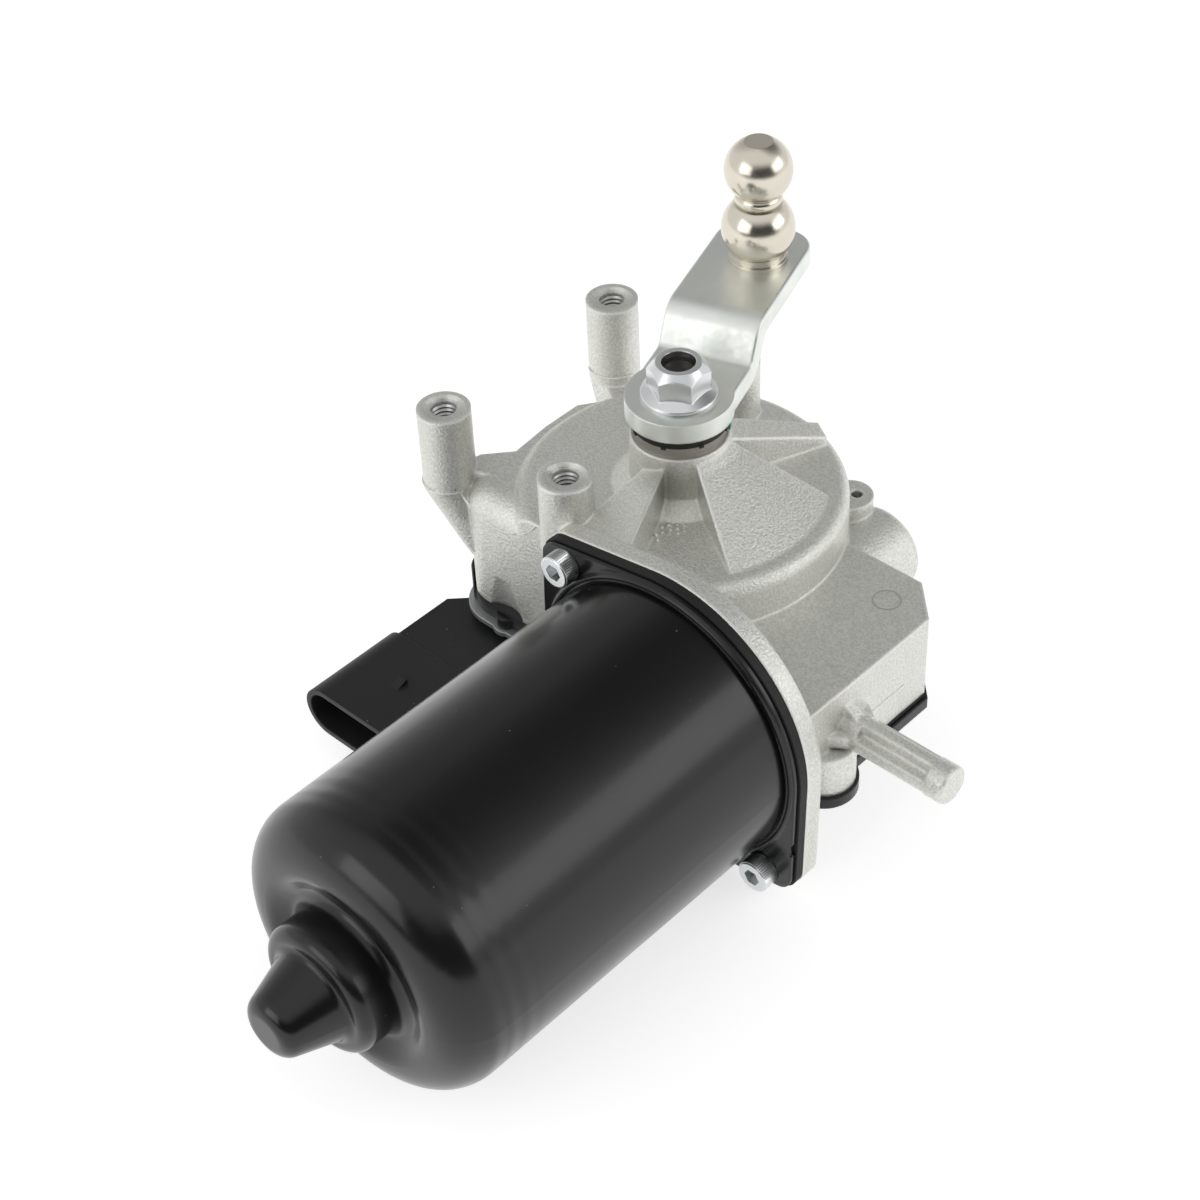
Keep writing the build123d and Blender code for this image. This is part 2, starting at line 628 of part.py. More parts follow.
with gear_housing:
    add(tunnel_wall.part)
    # Bores for the output shaft's bushes and seal
    with BuildSketch(level(SPIGOT_HEIGHT)):
        Circle(BUSH_RADIUS)
    extrude(amount=NECK_FOOT_Z - SPIGOT_HEIGHT, mode=Mode.SUBTRACT)
    # Worm bore with the bearing's seat in front and the end bush's seat behind
    with BuildSketch(motor_section):
        with BuildLine():
            Polyline(
                (0, HOUSING_FACE_Y),
                (BEARING_RADIUS, HOUSING_FACE_Y),
                (BEARING_RADIUS, HOUSING_FACE_Y + BEARING_WIDTH),
                (TUNNEL_BORE, HOUSING_FACE_Y + BEARING_WIDTH),
                (TUNNEL_BORE, END_BUSH_START_Y),
                (END_BUSH_RADIUS, END_BUSH_START_Y),
                (END_BUSH_RADIUS, JOURNAL_END_Y + THRUST_BUTTON_LENGTH),
                (0, JOURNAL_END_Y + THRUST_BUTTON_LENGTH),
                close=True,
            )
        make_face()
    revolve(axis=motor_axis, mode=Mode.SUBTRACT)
    # Room for the cover where the worm's end bulges past the open underside
    with BuildSketch(level(SKIRT_BOTTOM_Z)):
        add(skirt_outline(-GAP))
    extrude(amount=-COVER_DEPTH - 10.0, mode=Mode.SUBTRACT)
    # The corner boss reaches down past the open underside
    with BuildSketch(level(SKIRT_BOTTOM_Z)):
        with Locations(corner_boss):
            Circle(CORNER_BOSS_RADIUS)
    extrude(amount=-CORNER_BOSS_DROP)
    # Hollow in the lobe's front, over the cover's lug
    with BuildSketch(level(SKIRT_BOTTOM_Z)):
        with Locations((cover_lug[0] + 1.0, LOBE_FRONT_Y + NOTCH_DEPTH - NOTCH_RADIUS)):
            Circle(NOTCH_RADIUS)
    extrude(amount=NOTCH_HEIGHT, taper=8.0, mode=Mode.SUBTRACT)
    # Tapped mounting holes
    with BuildSketch(level(0)):
        with Locations(*mount_points):
            Circle(TAP_RADIUS)
    extrude(amount=-TAP_DEPTH, mode=Mode.SUBTRACT)
    # Screw holes in the flange ears and up from the open underside
    with BuildSketch(across(HOUSING_FLANGE_BACK_Y)):
        with Locations(*flange_screw_points):
            Circle(2.5)
    extrude(amount=HOUSING_FLANGE_THICKNESS, mode=Mode.SUBTRACT)
    with BuildSketch(across(HOUSING_FLANGE_BACK_Y)):
        with Locations(*flange_screw_points):
            Circle(2.5)
    extrude(amount=-5.0, mode=Mode.SUBTRACT)
    with BuildSketch(level(CORNER_BOSS_BOTTOM_Z)):
        with Locations(*cover_screw_points):
            Circle(COVER_SCREW_RADIUS)
    extrude(amount=CORNER_BOSS_DROP + COVER_SCREW_LENGTH - 4.0, mode=Mode.SUBTRACT)
    with BuildSketch(level(-36.0)):
        with Locations(polar(DOME_RADIUS + 3.2, 52.0)):
            Circle(1.6)
    extrude(amount=9.0, mode=Mode.SUBTRACT)
gear_housing.part.label = "gear_housing"

# Motor can: drawn steel, with a bearing cup, a pointed nose and a pressed flange
can_corners = [
    (0, NOSE_TIP_Y),
    (NOSE_TIP_RADIUS, NOSE_TIP_Y),
    (NOSE_BASE_RADIUS, CUP_END_Y),
    (CUP_RADIUS, CUP_END_Y),
    (CUP_RADIUS, CAN_END_Y + DISH_DEPTH),
    (DISH_RADIUS, CAN_END_Y),
    (CAN_RADIUS, CAN_END_Y),
    (CAN_RADIUS, CAN_FACE_Y),
]
can_radii = [4.0, 1.8, 3.0, 2.6, 5.0, CAN_CORNER]


def can_section(inset, end_y):
    """Half section of the can, drawn in by inset all round."""
    points = [(max(r - inset, 0), y + inset) for r, y in can_corners[:-1]]
    points.append((can_corners[-1][0] - inset, end_y))
    grow = [-1, 1, -1, 1, -1, -1]
    radii = [r + g * 0.6 * inset for r, g in zip(can_radii, grow)]
    with BuildSketch() as section:
        with BuildLine():
            FilletPolyline(*points, radius=radii)
            Polyline(points[-1], (0, end_y), points[0])
        make_face()
    return section.sketch


FLANGE_NOTCH = (MOTOR_X + 40.4, MOTOR_Z - 20.1)
FLANGE_NOTCH_WIDTH = 2.2
FLANGE_NOTCH_HEIGHT = 4.0
with BuildPart() as motor_can:
    with BuildSketch(motor_section):
        add(can_section(0, CARRIER_FACE_Y))
    revolve(axis=motor_axis)
    with BuildSketch(across(CARRIER_FACE_Y)):
        add(flange_outline(CAN_FLANGE_INSET))
        with Locations(FLANGE_NOTCH):
            Rectangle(FLANGE_NOTCH_WIDTH, FLANGE_NOTCH_HEIGHT, mode=Mode.SUBTRACT)
    extrude(amount=CAN_FLANGE_THICKNESS)
    flange_root = motor_can.edges().filter_by(GeomType.CIRCLE).filter_by(
        lambda e: abs(e.radius - CAN_RADIUS) < 0.01 and abs(e.center().Y - CAN_FACE_Y) < 0.01
    )
    fillet(flange_root, 0.5)
    # Half-round bead that stiffens the flange
    with BuildSketch(motor_section):
        with Locations((BEAD_CIRCLE, CAN_FACE_Y)):
            Circle(BEAD_RADIUS)
    revolve(axis=motor_axis)
    with BuildSketch(motor_section):
        add(can_section(CAN_WALL, CARRIER_FACE_Y))
    revolve(axis=motor_axis, mode=Mode.SUBTRACT)
    with BuildSketch(across(CARRIER_FACE_Y)):
        with Locations(*flange_screw_points):
            Circle(2.6)
    extrude(amount=CAN_FLANGE_THICKNESS, mode=Mode.SUBTRACT)
motor_can.part.label = "motor_can"

# Brush carrier: the matt plate between can and housing
SPIGOT_DEPTH = 2.6
with BuildPart() as brush_carrier:
    with BuildSketch(across(HOUSING_FACE_Y)):
        add(flange_outline(0.2))
    extrude(amount=CARRIER_THICKNESS)
    with BuildSketch(across(CARRIER_FACE_Y)):
        with Locations((MOTOR_X, MOTOR_Z)):
            Circle(CAN_BORE - 0.1)
    extrude(amount=SPIGOT_DEPTH)
    with BuildSketch(across(HOUSING_FACE_Y)):
        with Locations((MOTOR_X, MOTOR_Z)):
            Circle(COMMUTATOR_RADIUS + 1.5)
        with Locations(*flange_screw_points):
            Circle(2.6)
    extrude(amount=CARRIER_THICKNESS + SPIGOT_DEPTH, mode=Mode.SUBTRACT)
brush_carrier.part.label = "brush_carrier"

# Brush gear: three sliding brushes, so that the motor has two speeds
BRUSH_ANGLES = [90.0, 210.0, 270.0]
BRUSH_WIDTH = 5.0
BRUSH_DEPTH = 7.0
BRUSH_LENGTH = 9.0
BOX_WALL = 0.6
BOX_LENGTH = 15.0
carrier_inner_y = CARRIER_FACE_Y - SPIGOT_DEPTH
brush_face_y = carrier_inner_y - BOX_WALL - BRUSH_DEPTH / 2
brush_start = COMMUTATOR_RADIUS + 0.08


def brush_plane(angle):
    """Plane with its normal pointing out from the motor's axis at the brush's mid height."""
    out = Vector(cos(radians(angle)), 0, sin(radians(angle)))
    centre = Vector(MOTOR_X, brush_face_y, MOTOR_Z)
    return Plane(origin=centre, x_dir=(0, 1, 0), z_dir=out)


with BuildPart() as carbon_brushes:
    for brush_angle in BRUSH_ANGLES:
        with BuildSketch(brush_plane(brush_angle).offset(COMMUTATOR_RADIUS - 1.0)):
            Rectangle(BRUSH_DEPTH, BRUSH_WIDTH)
        extrude(amount=BRUSH_LENGTH)
    with BuildSketch(across(CARRIER_FACE_Y)):
        with Locations((MOTOR_X, MOTOR_Z)):
            Circle(brush_start)
    extrude(amount=30.0, mode=Mode.SUBTRACT)
carbon_brushes.part.label = "carbon_brushes"

with BuildPart() as brush_boxes:
    for brush_angle in BRUSH_ANGLES:
        with BuildSketch(brush_plane(brush_angle).offset(brush_start + 2.0)):
            Rectangle(BRUSH_DEPTH + 2 * BOX_WALL, BRUSH_WIDTH + 2 * BOX_WALL)
            Rectangle(BRUSH_DEPTH, BRUSH_WIDTH, mode=Mode.SUBTRACT)
        extrude(amount=BOX_LENGTH)
        with BuildSketch(brush_plane(brush_angle).offset(brush_start + 2.0 + BOX_LENGTH)):
            Rectangle(BRUSH_DEPTH + 2 * BOX_WALL, BRUSH_WIDTH + 2 * BOX_WALL)
        extrude(amount=BOX_WALL)
brush_boxes.part.label = "brush_boxes"

# Each brush's spring: a bowed strip between the brush and the end of its box
spring_start = COMMUTATOR_RADIUS - 1.0 + BRUSH_LENGTH
spring_end = brush_start + 2.0 + BOX_LENGTH
SPRING_STRIP = 0.35
with BuildPart() as brush_springs:
    for brush_angle in BRUSH_ANGLES:
        spring_plane = brush_plane(brush_angle)
        side_plane = Plane(origin=spring_plane.origin, x_dir=spring_plane.z_dir, z_dir=(0, 1, 0))
        with BuildSketch(side_plane.offset(-BRUSH_DEPTH / 2 + 1.0)):
            with BuildLine():
                zigzag = [
                    (spring_start + SPRING_STRIP, -1.8),
                    (spring_start + SPRING_STRIP, 1.8),
                    ((spring_start + spring_end) / 2 - 1.0, -1.8),
                    ((spring_start + spring_end) / 2 + 1.0, 1.8),
                    (spring_end - SPRING_STRIP, -1.8),
                    (spring_end - SPRING_STRIP, 1.8),
                ]
                Polyline(*zigzag)
                offset(amount=SPRING_STRIP, side=Side.BOTH, kind=Kind.ARC)
            make_face()
        extrude(amount=BRUSH_DEPTH - 2.0)
brush_springs.part.label = "brush_springs"

# Suppression chokes stand on the carrier between the brushes
CHOKE_RADIUS = 3.2
CHOKE_LENGTH = 15.0
CHOKE_CIRCLE = 27.0
choke_points = [
    (MOTOR_X + CHOKE_CIRCLE * cos(radians(a)), MOTOR_Z + CHOKE_CIRCLE * sin(radians(a)))
    for a in (30.0, 150.0)
]
with BuildPart() as choke_coils:
    with BuildSketch(across(carrier_inner_y)):
        with Locations(*choke_points):
            Circle(CHOKE_RADIUS - 0.8)
    extrude(amount=CHOKE_LENGTH)
    with BuildSketch(across(carrier_inner_y - 1.5)):
        with Locations(*choke_points):
            Circle(CHOKE_RADIUS)
    extrude(amount=CHOKE_LENGTH - 3.0)
choke_coils.part.label = "choke_coils"

# Field magnets: two ferrite arcs on the can's wall
MAGNET_RADIUS = ARMATURE_RADIUS + AIR_GAP
magnet_start_y = CAN_END_Y + 18.0
with BuildPart() as field_magnets:
    for centre_angle in (0.0, 180.0):
        with BuildSketch(motor_half_plane(centre_angle + MAGNET_ARC / 2)):
            with Locations(((MAGNET_RADIUS + CAN_BORE) / 2, magnet_start_y + MAGNET_LENGTH / 2)):
                Rectangle(CAN_BORE - MAGNET_RADIUS, MAGNET_LENGTH)
        revolve(axis=motor_axis, revolution_arc=MAGNET_ARC)
    magnet_ends = field_magnets.edges().filter_by(GeomType.CIRCLE).filter_by(
        lambda e: abs(e.radius - MAGNET_RADIUS) < 0.01
    )
    chamfer(magnet_ends, 1.5)
field_magnets.part.label = "field_magnets"

# Spring clips press the magnets apart, one in each gap between them
CLIP_STRIP = 0.8
CLIP_MARGIN = 1.0
clip_arc = 180.0 - MAGNET_ARC - 2 * CLIP_MARGIN
with BuildPart() as magnet_clips:
    for clip_side in (90.0, 270.0):
        with BuildSketch(motor_half_plane(clip_side + clip_arc / 2)):
            with Locations((CAN_BORE - CLIP_STRIP / 2, magnet_start_y + MAGNET_LENGTH / 2)):
                Rectangle(CLIP_STRIP, MAGNET_LENGTH - 4.0)
        revolve(axis=motor_axis, revolution_arc=clip_arc)
        for edge_side in (-1, 1):
            lip_angle = clip_side + edge_side * (clip_arc / 2 - 0.8)
            with BuildSketch(motor_half_plane(lip_angle + 0.8)):
                with Locations((CAN_BORE - 3.0, magnet_start_y + MAGNET_LENGTH / 2)):
                    Rectangle(6.0, MAGNET_LENGTH - 14.0)
            revolve(axis=motor_axis, revolution_arc=1.6)
magnet_clips.part.label = "magnet_clips"

# Bearings of the armature
REAR_BUSH_RADIUS = 9.0
REAR_BUSH_LENGTH = 9.0
rear_bush_y = CUP_END_Y + CAN_WALL
with BuildPart() as rear_bush:
    with BuildSketch(motor_section):
        with BuildLine():
            Polyline(
                (SHAFT_RADIUS + RUNNING_CLEARANCE, rear_bush_y),
                (REAR_BUSH_RADIUS - 3.0, rear_bush_y),
                (REAR_BUSH_RADIUS, rear_bush_y + REAR_BUSH_LENGTH / 2),
                (REAR_BUSH_RADIUS - 3.0, rear_bush_y + REAR_BUSH_LENGTH),
                (SHAFT_RADIUS + RUNNING_CLEARANCE, rear_bush_y + REAR_BUSH_LENGTH),
                close=True,
            )
        make_face()
    revolve(axis=motor_axis)
rear_bush.part.label = "rear_bush"

with BuildPart() as bush_retainer:
    with BuildSketch(motor_section):
        with BuildLine():
            Polyline(
                (CUP_RADIUS - CAN_WALL, rear_bush_y + 2.5),
                (CUP_RADIUS - CAN_WALL, rear_bush_y + 8.0),
                (CUP_RADIUS - CAN_WALL - 1.0, rear_bush_y + 8.0),
                (CUP_RADIUS - CAN_WALL - 1.0, rear_bush_y + 3.5),
                (REAR_BUSH_RADIUS - 3.0, rear_bush_y + 3.5),
                (REAR_BUSH_RADIUS - 3.0, rear_bush_y + 2.5),
                close=True,
            )
        make_face()
    revolve(axis=motor_axis)
    with BuildSketch(motor_section):
        with BuildLine():
            Polyline(
                (0, rear_bush_y),
                (REAR_BUSH_RADIUS - 3.0, rear_bush_y),
                (REAR_BUSH_RADIUS, rear_bush_y + REAR_BUSH_LENGTH / 2),
                (0, rear_bush_y + REAR_BUSH_LENGTH / 2),
                close=True,
            )
        make_face()
    revolve(axis=motor_axis, mode=Mode.SUBTRACT)
bush_retainer.part.label = "bush_retainer"

with BuildPart() as front_bearing:
    with BuildSketch(across(HOUSING_FACE_Y + BEARING_WIDTH)):
        with Locations((MOTOR_X, MOTOR_Z)):
            Circle(BEARING_RADIUS)
            Circle(SHAFT_RADIUS + RUNNING_CLEARANCE, mode=Mode.SUBTRACT)
    extrude(amount=BEARING_WIDTH)
    with BuildSketch(across(HOUSING_FACE_Y)):
        with Locations((MOTOR_X, MOTOR_Z)):
            Circle(BEARING_RADIUS - 1.4)
            Circle(SHAFT_RADIUS + 1.2, mode=Mode.SUBTRACT)
    extrude(amount=-0.6, mode=Mode.SUBTRACT)
front_bearing.part.label = "front_bearing"

with BuildPart() as worm_end_bush:
    with BuildSketch(across(END_BUSH_START_Y + END_BUSH_LENGTH)):
        with Locations((MOTOR_X, MOTOR_Z)):
            Circle(END_BUSH_RADIUS)
            Circle(JOURNAL_RADIUS + RUNNING_CLEARANCE, mode=Mode.SUBTRACT)
    extrude(amount=END_BUSH_LENGTH)
worm_end_bush.part.label = "worm_end_bush"

with BuildPart() as thrust_button:
    with BuildSketch(across(JOURNAL_END_Y + THRUST_BUTTON_LENGTH)):
        with Locations((MOTOR_X, MOTOR_Z)):
            Circle(END_BUSH_RADIUS)
    extrude(amount=THRUST_BUTTON_LENGTH)
thrust_button.part.label = "thrust_button"

# Cap screws through the can's ears
SCREW_RADIUS = 2.5
SCREW_HEAD_RADIUS = 4.25
SCREW_HEAD_HEIGHT = 4.8
SCREW_TAIL = 3.0
with BuildPart() as flange_screws:
    with BuildSketch(across(CAN_FACE_Y)):
        with Locations(*flange_screw_points):
            Circle(SCREW_HEAD_RADIUS)
    extrude(amount=SCREW_HEAD_HEIGHT)
    head_rims = flange_screws.edges().filter_by(
        lambda e: abs(e.center().Y - CAN_FACE_Y + SCREW_HEAD_HEIGHT) < 0.01
    )
    fillet(head_rims, 0.5)
    with BuildSketch(across(CAN_FACE_Y)):
        with Locations(*flange_screw_points):
            Circle(SCREW_RADIUS)
    extrude(amount=CAN_FACE_Y - HOUSING_FLANGE_BACK_Y - SCREW_TAIL)
    with BuildSketch(across(CAN_FACE_Y - SCREW_HEAD_HEIGHT)):
        with Locations(*flange_screw_points):
            RegularPolygon(2.0, 6, major_radius=False)
    extrude(amount=-2.6, mode=Mode.SUBTRACT)
flange_screws.part.label = "flange_screws"

# Seal, cover and shield close the underside
with BuildPart() as cover_seal:
    with BuildSketch(level(SEAL_BOTTOM_Z)):
        add(skirt_outline())
        add(skirt_void(), mode=Mode.SUBTRACT)
    extrude(amount=SEAL_THICKNESS)
    with BuildSketch(level(SEAL_BOTTOM_Z)):
        with Locations(*cover_screw_points):
            Circle(COVER_SCREW_RADIUS + 0.1)
        with Locations(corner_boss):
            Circle(CORNER_BOSS_RADIUS + COVER_SLIP)
    extrude(amount=SEAL_THICKNESS, mode=Mode.SUBTRACT)
cover_seal.part.label = "cover_seal"

CORNER_DISC_BOTTOM_Z = CORNER_BOSS_BOTTOM_Z - CORNER_DISC_DEPTH
COVER_SWELL = 1.0
COVER_LIP = 0.9
COVER_RISE = 7.7
with BuildPart() as gear_cover:
    with BuildSketch(level(COVER_BOTTOM_Z)):
        add(skirt_outline())
        add(block_outline(-COVER_LIP))
        with Locations((MOTOR_X, HOUSING_FLANGE_BACK_Y)):
            Rectangle(2 * FLANGE_RADIUS, 5.0, align=(Align.CENTER, Align.MAX), mode=Mode.SUBTRACT)
        with Locations(cover_lug):
            Circle(LUG_RADIUS)
    extrude(amount=COVER_DEPTH)
    with BuildSketch(level(COVER_BOTTOM_Z + COVER_FLOOR)):
        add(skirt_void())
    extrude(amount=COVER_DEPTH - COVER_FLOOR, mode=Mode.SUBTRACT)
    # Cup round the foot of the corner boss
    with BuildSketch(level(CORNER_DISC_BOTTOM_Z)):
        with Locations(corner_boss):
            Circle(CORNER_DISC_RADIUS)
    extrude(amount=CORNER_DISC_DEPTH)
    with BuildSketch(level(CORNER_BOSS_BOTTOM_Z)):
        with Locations(corner_boss):
            Circle(CORNER_BOSS_RADIUS + COVER_SLIP)
    extrude(amount=CORNER_BOSS_DROP, mode=Mode.SUBTRACT)
    # The left side rises outside the lobe's wall
    for wall_bottom_z, wall_inside, wall_height in (
        (COVER_BOTTOM_Z, 2.0, COVER_DEPTH),
        (SEAL_BOTTOM_Z, -COVER_SLIP, COVER_RISE),
    ):
        with BuildSketch(level(wall_bottom_z)):
            add(lobe_outline(-COVER_SWELL))
            with Locations((LOBE_LEFT_X - 5.0, LOBE_FRONT_Y + 2.3)):
                Rectangle(10.3, 35.6, align=(Align.MIN, Align.MIN), mode=Mode.INTERSECT)
            add(lobe_outline(wall_inside), mode=Mode.SUBTRACT)
        extrude(amount=wall_height)
    with BuildSketch(level(CORNER_DISC_BOTTOM_Z)):
        with Locations(*cover_screw_points):
            Circle(COVER_SCREW_RADIUS + 0.1)
    extrude(amount=SEAL_BOTTOM_Z - CORNER_DISC_BOTTOM_Z, mode=Mode.SUBTRACT)
gear_cover.part.label = "gear_cover"

with BuildPart() as cover_shield:
    with BuildSketch(level(SHIELD_BOTTOM_Z)):
        Circle(DOME_RADIUS + SHIELD_OVERHANG)
        with Locations((0, HOUSING_FLANGE_BACK_Y)):
            Rectangle(200.0, 60.0, align=(Align.CENTER, Align.MAX), mode=Mode.SUBTRACT)
        add(lobe_outline(-LOBE_OVERHANG))
        with Locations(cover_lug):
            Circle(LUG_RADIUS + LUG_OVERHANG)
        with Locations((MOTOR_X, HOUSING_FLANGE_BACK_Y)):
            Rectangle(2 * FLANGE_RADIUS + 2.0, 5.0, align=(Align.CENTER, Align.MAX), mode=Mode.SUBTRACT)
        with Locations(*cover_screw_points[2:]):
            Circle(COVER_SCREW_RADIUS + 0.1, mode=Mode.SUBTRACT)
    extrude(amount=SHIELD_THICKNESS)
cover_shield.part.label = "cover_shield"

SCREW_PAN_HEIGHT = 2.2
screw_seats = [CORNER_DISC_BOTTOM_Z, COVER_BOTTOM_Z, SHIELD_BOTTOM_Z, SHIELD_BOTTOM_Z, SHIELD_BOTTOM_Z]
with BuildPart() as cover_screws:
    for screw_point, seat_z in zip(cover_screw_points, screw_seats):
        with BuildSketch(level(seat_z)):
            with Locations(screw_point):
                Circle(COVER_SCREW_HEAD)
        extrude(amount=-SCREW_PAN_HEIGHT)
        with BuildSketch(level(seat_z)):
            with Locations(screw_point):
                Circle(COVER_SCREW_RADIUS)
        extrude(amount=SKIRT_BOTTOM_Z - seat_z + COVER_SCREW_LENGTH - 5.0)
        with BuildSketch(level(seat_z - SCREW_PAN_HEIGHT)):
            with Locations(screw_point):
                RegularPolygon(1.6, 6)
        extrude(amount=1.2, mode=Mode.SUBTRACT)
cover_screws.part.label = "cover_screws"

# Plug socket under the shield, open towards the can's closed end
socket_back_y = LOBE_BACK_Y - 18.0
with BuildPart() as plug_socket:
    # Foot that joins the socket to the shield
    with BuildSketch(level(SHIELD_BOTTOM_Z)):
        with Locations((SHROUD_CENTRE_X + 4.0, (socket_back_y + LOBE_FRONT_Y) / 2)):
            Rectangle(SHROUD_WIDTH - 16.0, socket_back_y - LOBE_FRONT_Y - 5.0)
    extrude(amount=-PLUG_DROP)
    with BuildSketch(level(SOCKET_TOP_Z)):
        with BuildLine():
            Polyline(
                (SHROUD_LEFT_X + 5.0, SHROUD_BACK_Y - 1.0),
                (SHROUD_LEFT_X + 5.0, LOBE_FRONT_Y),
                (SHROUD_LEFT_X + 9.4, LOBE_FRONT_Y + 4.4),
                (SHROUD_LEFT_X + 9.4, socket_back_y),
                (SHROUD_LEFT_X + SHROUD_WIDTH - 2.0, socket_back_y),
                (SHROUD_LEFT_X + SHROUD_WIDTH - 2.0, SHROUD_BACK_Y - 1.0),
                close=True,
            )
        make_face()
    extrude(amount=-(SHROUD_HEIGHT - 2 * SHROUD_STEP))
    with BuildSketch(across(SHROUD_BACK_Y)):
        with Locations((SHROUD_CENTRE_X, SHROUD_CENTRE_Z)):
            SlotOverall(SHROUD_WIDTH, SHROUD_HEIGHT)
    extrude(amount=SHROUD_BACK_Y - SHROUD_MOUTH_Y)
    with BuildSketch(across(SHROUD_FLOOR_Y)):
        with Locations((SHROUD_CENTRE_X, SHROUD_CENTRE_Z)):
            SlotOverall(SHROUD_WIDTH - 2 * SHROUD_WALL, SHROUD_HEIGHT - 2 * SHROUD_WALL)
    extrude(amount=SHROUD_FLOOR_Y - SHROUD_MOUTH_Y, mode=Mode.SUBTRACT)
    # Latch ramp on top of the shroud
    with BuildSketch(Plane.YZ.offset(SHROUD_CENTRE_X - LATCH_WIDTH / 2)):
        with BuildLine():
            Polyline(
                (SHROUD_MOUTH_Y + 12.0, SHROUD_CENTRE_Z + SHROUD_HEIGHT / 2 - 0.5),
                (SHROUD_MOUTH_Y + 17.0, SHROUD_CENTRE_Z + SHROUD_HEIGHT / 2 - 0.5),
                (SHROUD_MOUTH_Y + 17.0, SHROUD_CENTRE_Z + SHROUD_HEIGHT / 2 + LATCH_HEIGHT),
                close=True,
            )
        make_face()
    extrude(amount=LATCH_WIDTH)
    # Slots that the blade terminals stand in
    with BuildSketch(across(SHROUD_FLOOR_Y + 3.0)):
        with Locations((SHROUD_CENTRE_X, SHROUD_CENTRE_Z)):
            with GridLocations(TERMINAL_PITCH, 1.0, TERMINALS, 1):
                Rectangle(2.8, 0.8)
    extrude(amount=3.0, mode=Mode.SUBTRACT)
plug_socket.part.label = "plug_socket"

TERMINAL_REACH = 9.5
with BuildPart() as plug_terminals:
    with BuildSketch(across(SHROUD_FLOOR_Y + 3.0)):
        with Locations((SHROUD_CENTRE_X, SHROUD_CENTRE_Z)):
            with GridLocations(TERMINAL_PITCH, 1.0, TERMINALS, 1):
                Rectangle(2.8, 0.8)
    extrude(amount=3.0 + TERMINAL_REACH)
plug_terminals.part.label = "plug_terminals"

# Bushes, ring and seals of the output shaft
UPPER_BUSH_TOP_Z = -2.0
BUSH_LENGTH = 11.0
with BuildPart() as output_bushes:
    for bush_top_z in (UPPER_BUSH_TOP_Z, NECK_FOOT_Z + BUSH_LENGTH):
        with BuildSketch(level(bush_top_z)):
            Circle(BUSH_RADIUS)
            Circle(OUTPUT_RADIUS + RUNNING_CLEARANCE, mode=Mode.SUBTRACT)
        extrude(amount=-BUSH_LENGTH)
output_bushes.part.label = "output_bushes"

SHAFT_SEAL_HEIGHT = 3.2
with BuildPart() as shaft_seal:
    with BuildSketch(level(SPIGOT_HEIGHT - SHAFT_SEAL_HEIGHT)):
        Circle(BUSH_RADIUS)
        Circle(OUTPUT_RADIUS + 0.1, mode=Mode.SUBTRACT)
    extrude(amount=SHAFT_SEAL_HEIGHT)
shaft_seal.part.label = "shaft_seal"

CAP_RADIUS = 10.9
with BuildPart() as splash_ring:
    with BuildSketch(level(SPIGOT_HEIGHT)):
        Circle(CAP_RADIUS)
        Circle(OUTPUT_RADIUS + 0.5, mode=Mode.SUBTRACT)
    extrude(amount=ARM_SEAT_Z - GAP - SPIGOT_HEIGHT)
    with BuildSketch(level(SPIGOT_HEIGHT + 0.5)):
        with PolarLocations(CAP_RADIUS, 8):
            Rectangle(1.6, 1.8)
    extrude(amount=2.0, mode=Mode.SUBTRACT)
splash_ring.part.label = "splash_ring"

# Output shaft, turned in one piece
RING_GROOVE_DEPTH = 0.6
RING_THICKNESS = 1.0
ring_z = UPPER_BUSH_TOP_Z + 0.15
SHAFT_BOTTOM_Z = WHEEL_BOTTOM_Z - 1.2
STUD_TOP_Z = ARM_TOP_Z + NUT_HEIGHT - 2.2
with BuildPart() as output_shaft:
    with BuildSketch(shaft_section):
        with BuildLine():
            Polyline(
                (0, SHAFT_BOTTOM_Z),
                (OUTPUT_RADIUS - 0.8, SHAFT_BOTTOM_Z),
                (OUTPUT_RADIUS, SHAFT_BOTTOM_Z + 0.8),
                (OUTPUT_RADIUS, ring_z),
                (OUTPUT_RADIUS - RING_GROOVE_DEPTH, ring_z),
                (OUTPUT_RADIUS - RING_GROOVE_DEPTH, ring_z + RING_THICKNESS),
                (OUTPUT_RADIUS, ring_z + RING_THICKNESS),
                (OUTPUT_RADIUS, ARM_SEAT_Z),
                (ARM_BORE, ARM_SEAT_Z),
                (ARM_BORE, ARM_TOP_Z - 0.6),
                (THREAD_RADIUS, ARM_TOP_Z),
                (THREAD_RADIUS, STUD_TOP_Z - 0.7),
                (THREAD_RADIUS - 0.7, STUD_TOP_Z),
                (0, STUD_TOP_Z),
                close=True,
            )
        make_face()
    revolve(axis=Axis.Z)
output_shaft.part.label = "output_shaft"

with BuildPart() as retaining_ring:
    with BuildSketch(level(ring_z)):
        Circle(BUSH_RADIUS - 0.4)
        Circle(OUTPUT_RADIUS - RING_GROOVE_DEPTH, mode=Mode.SUBTRACT)
        with Locations((0, -BUSH_RADIUS)):
            Rectangle(4.0, 2 * (BUSH_RADIUS - OUTPUT_RADIUS) + 1.0, mode=Mode.SUBTRACT)
    extrude(amount=RING_THICKNESS)
retaining_ring.part.label = "retaining_ring"


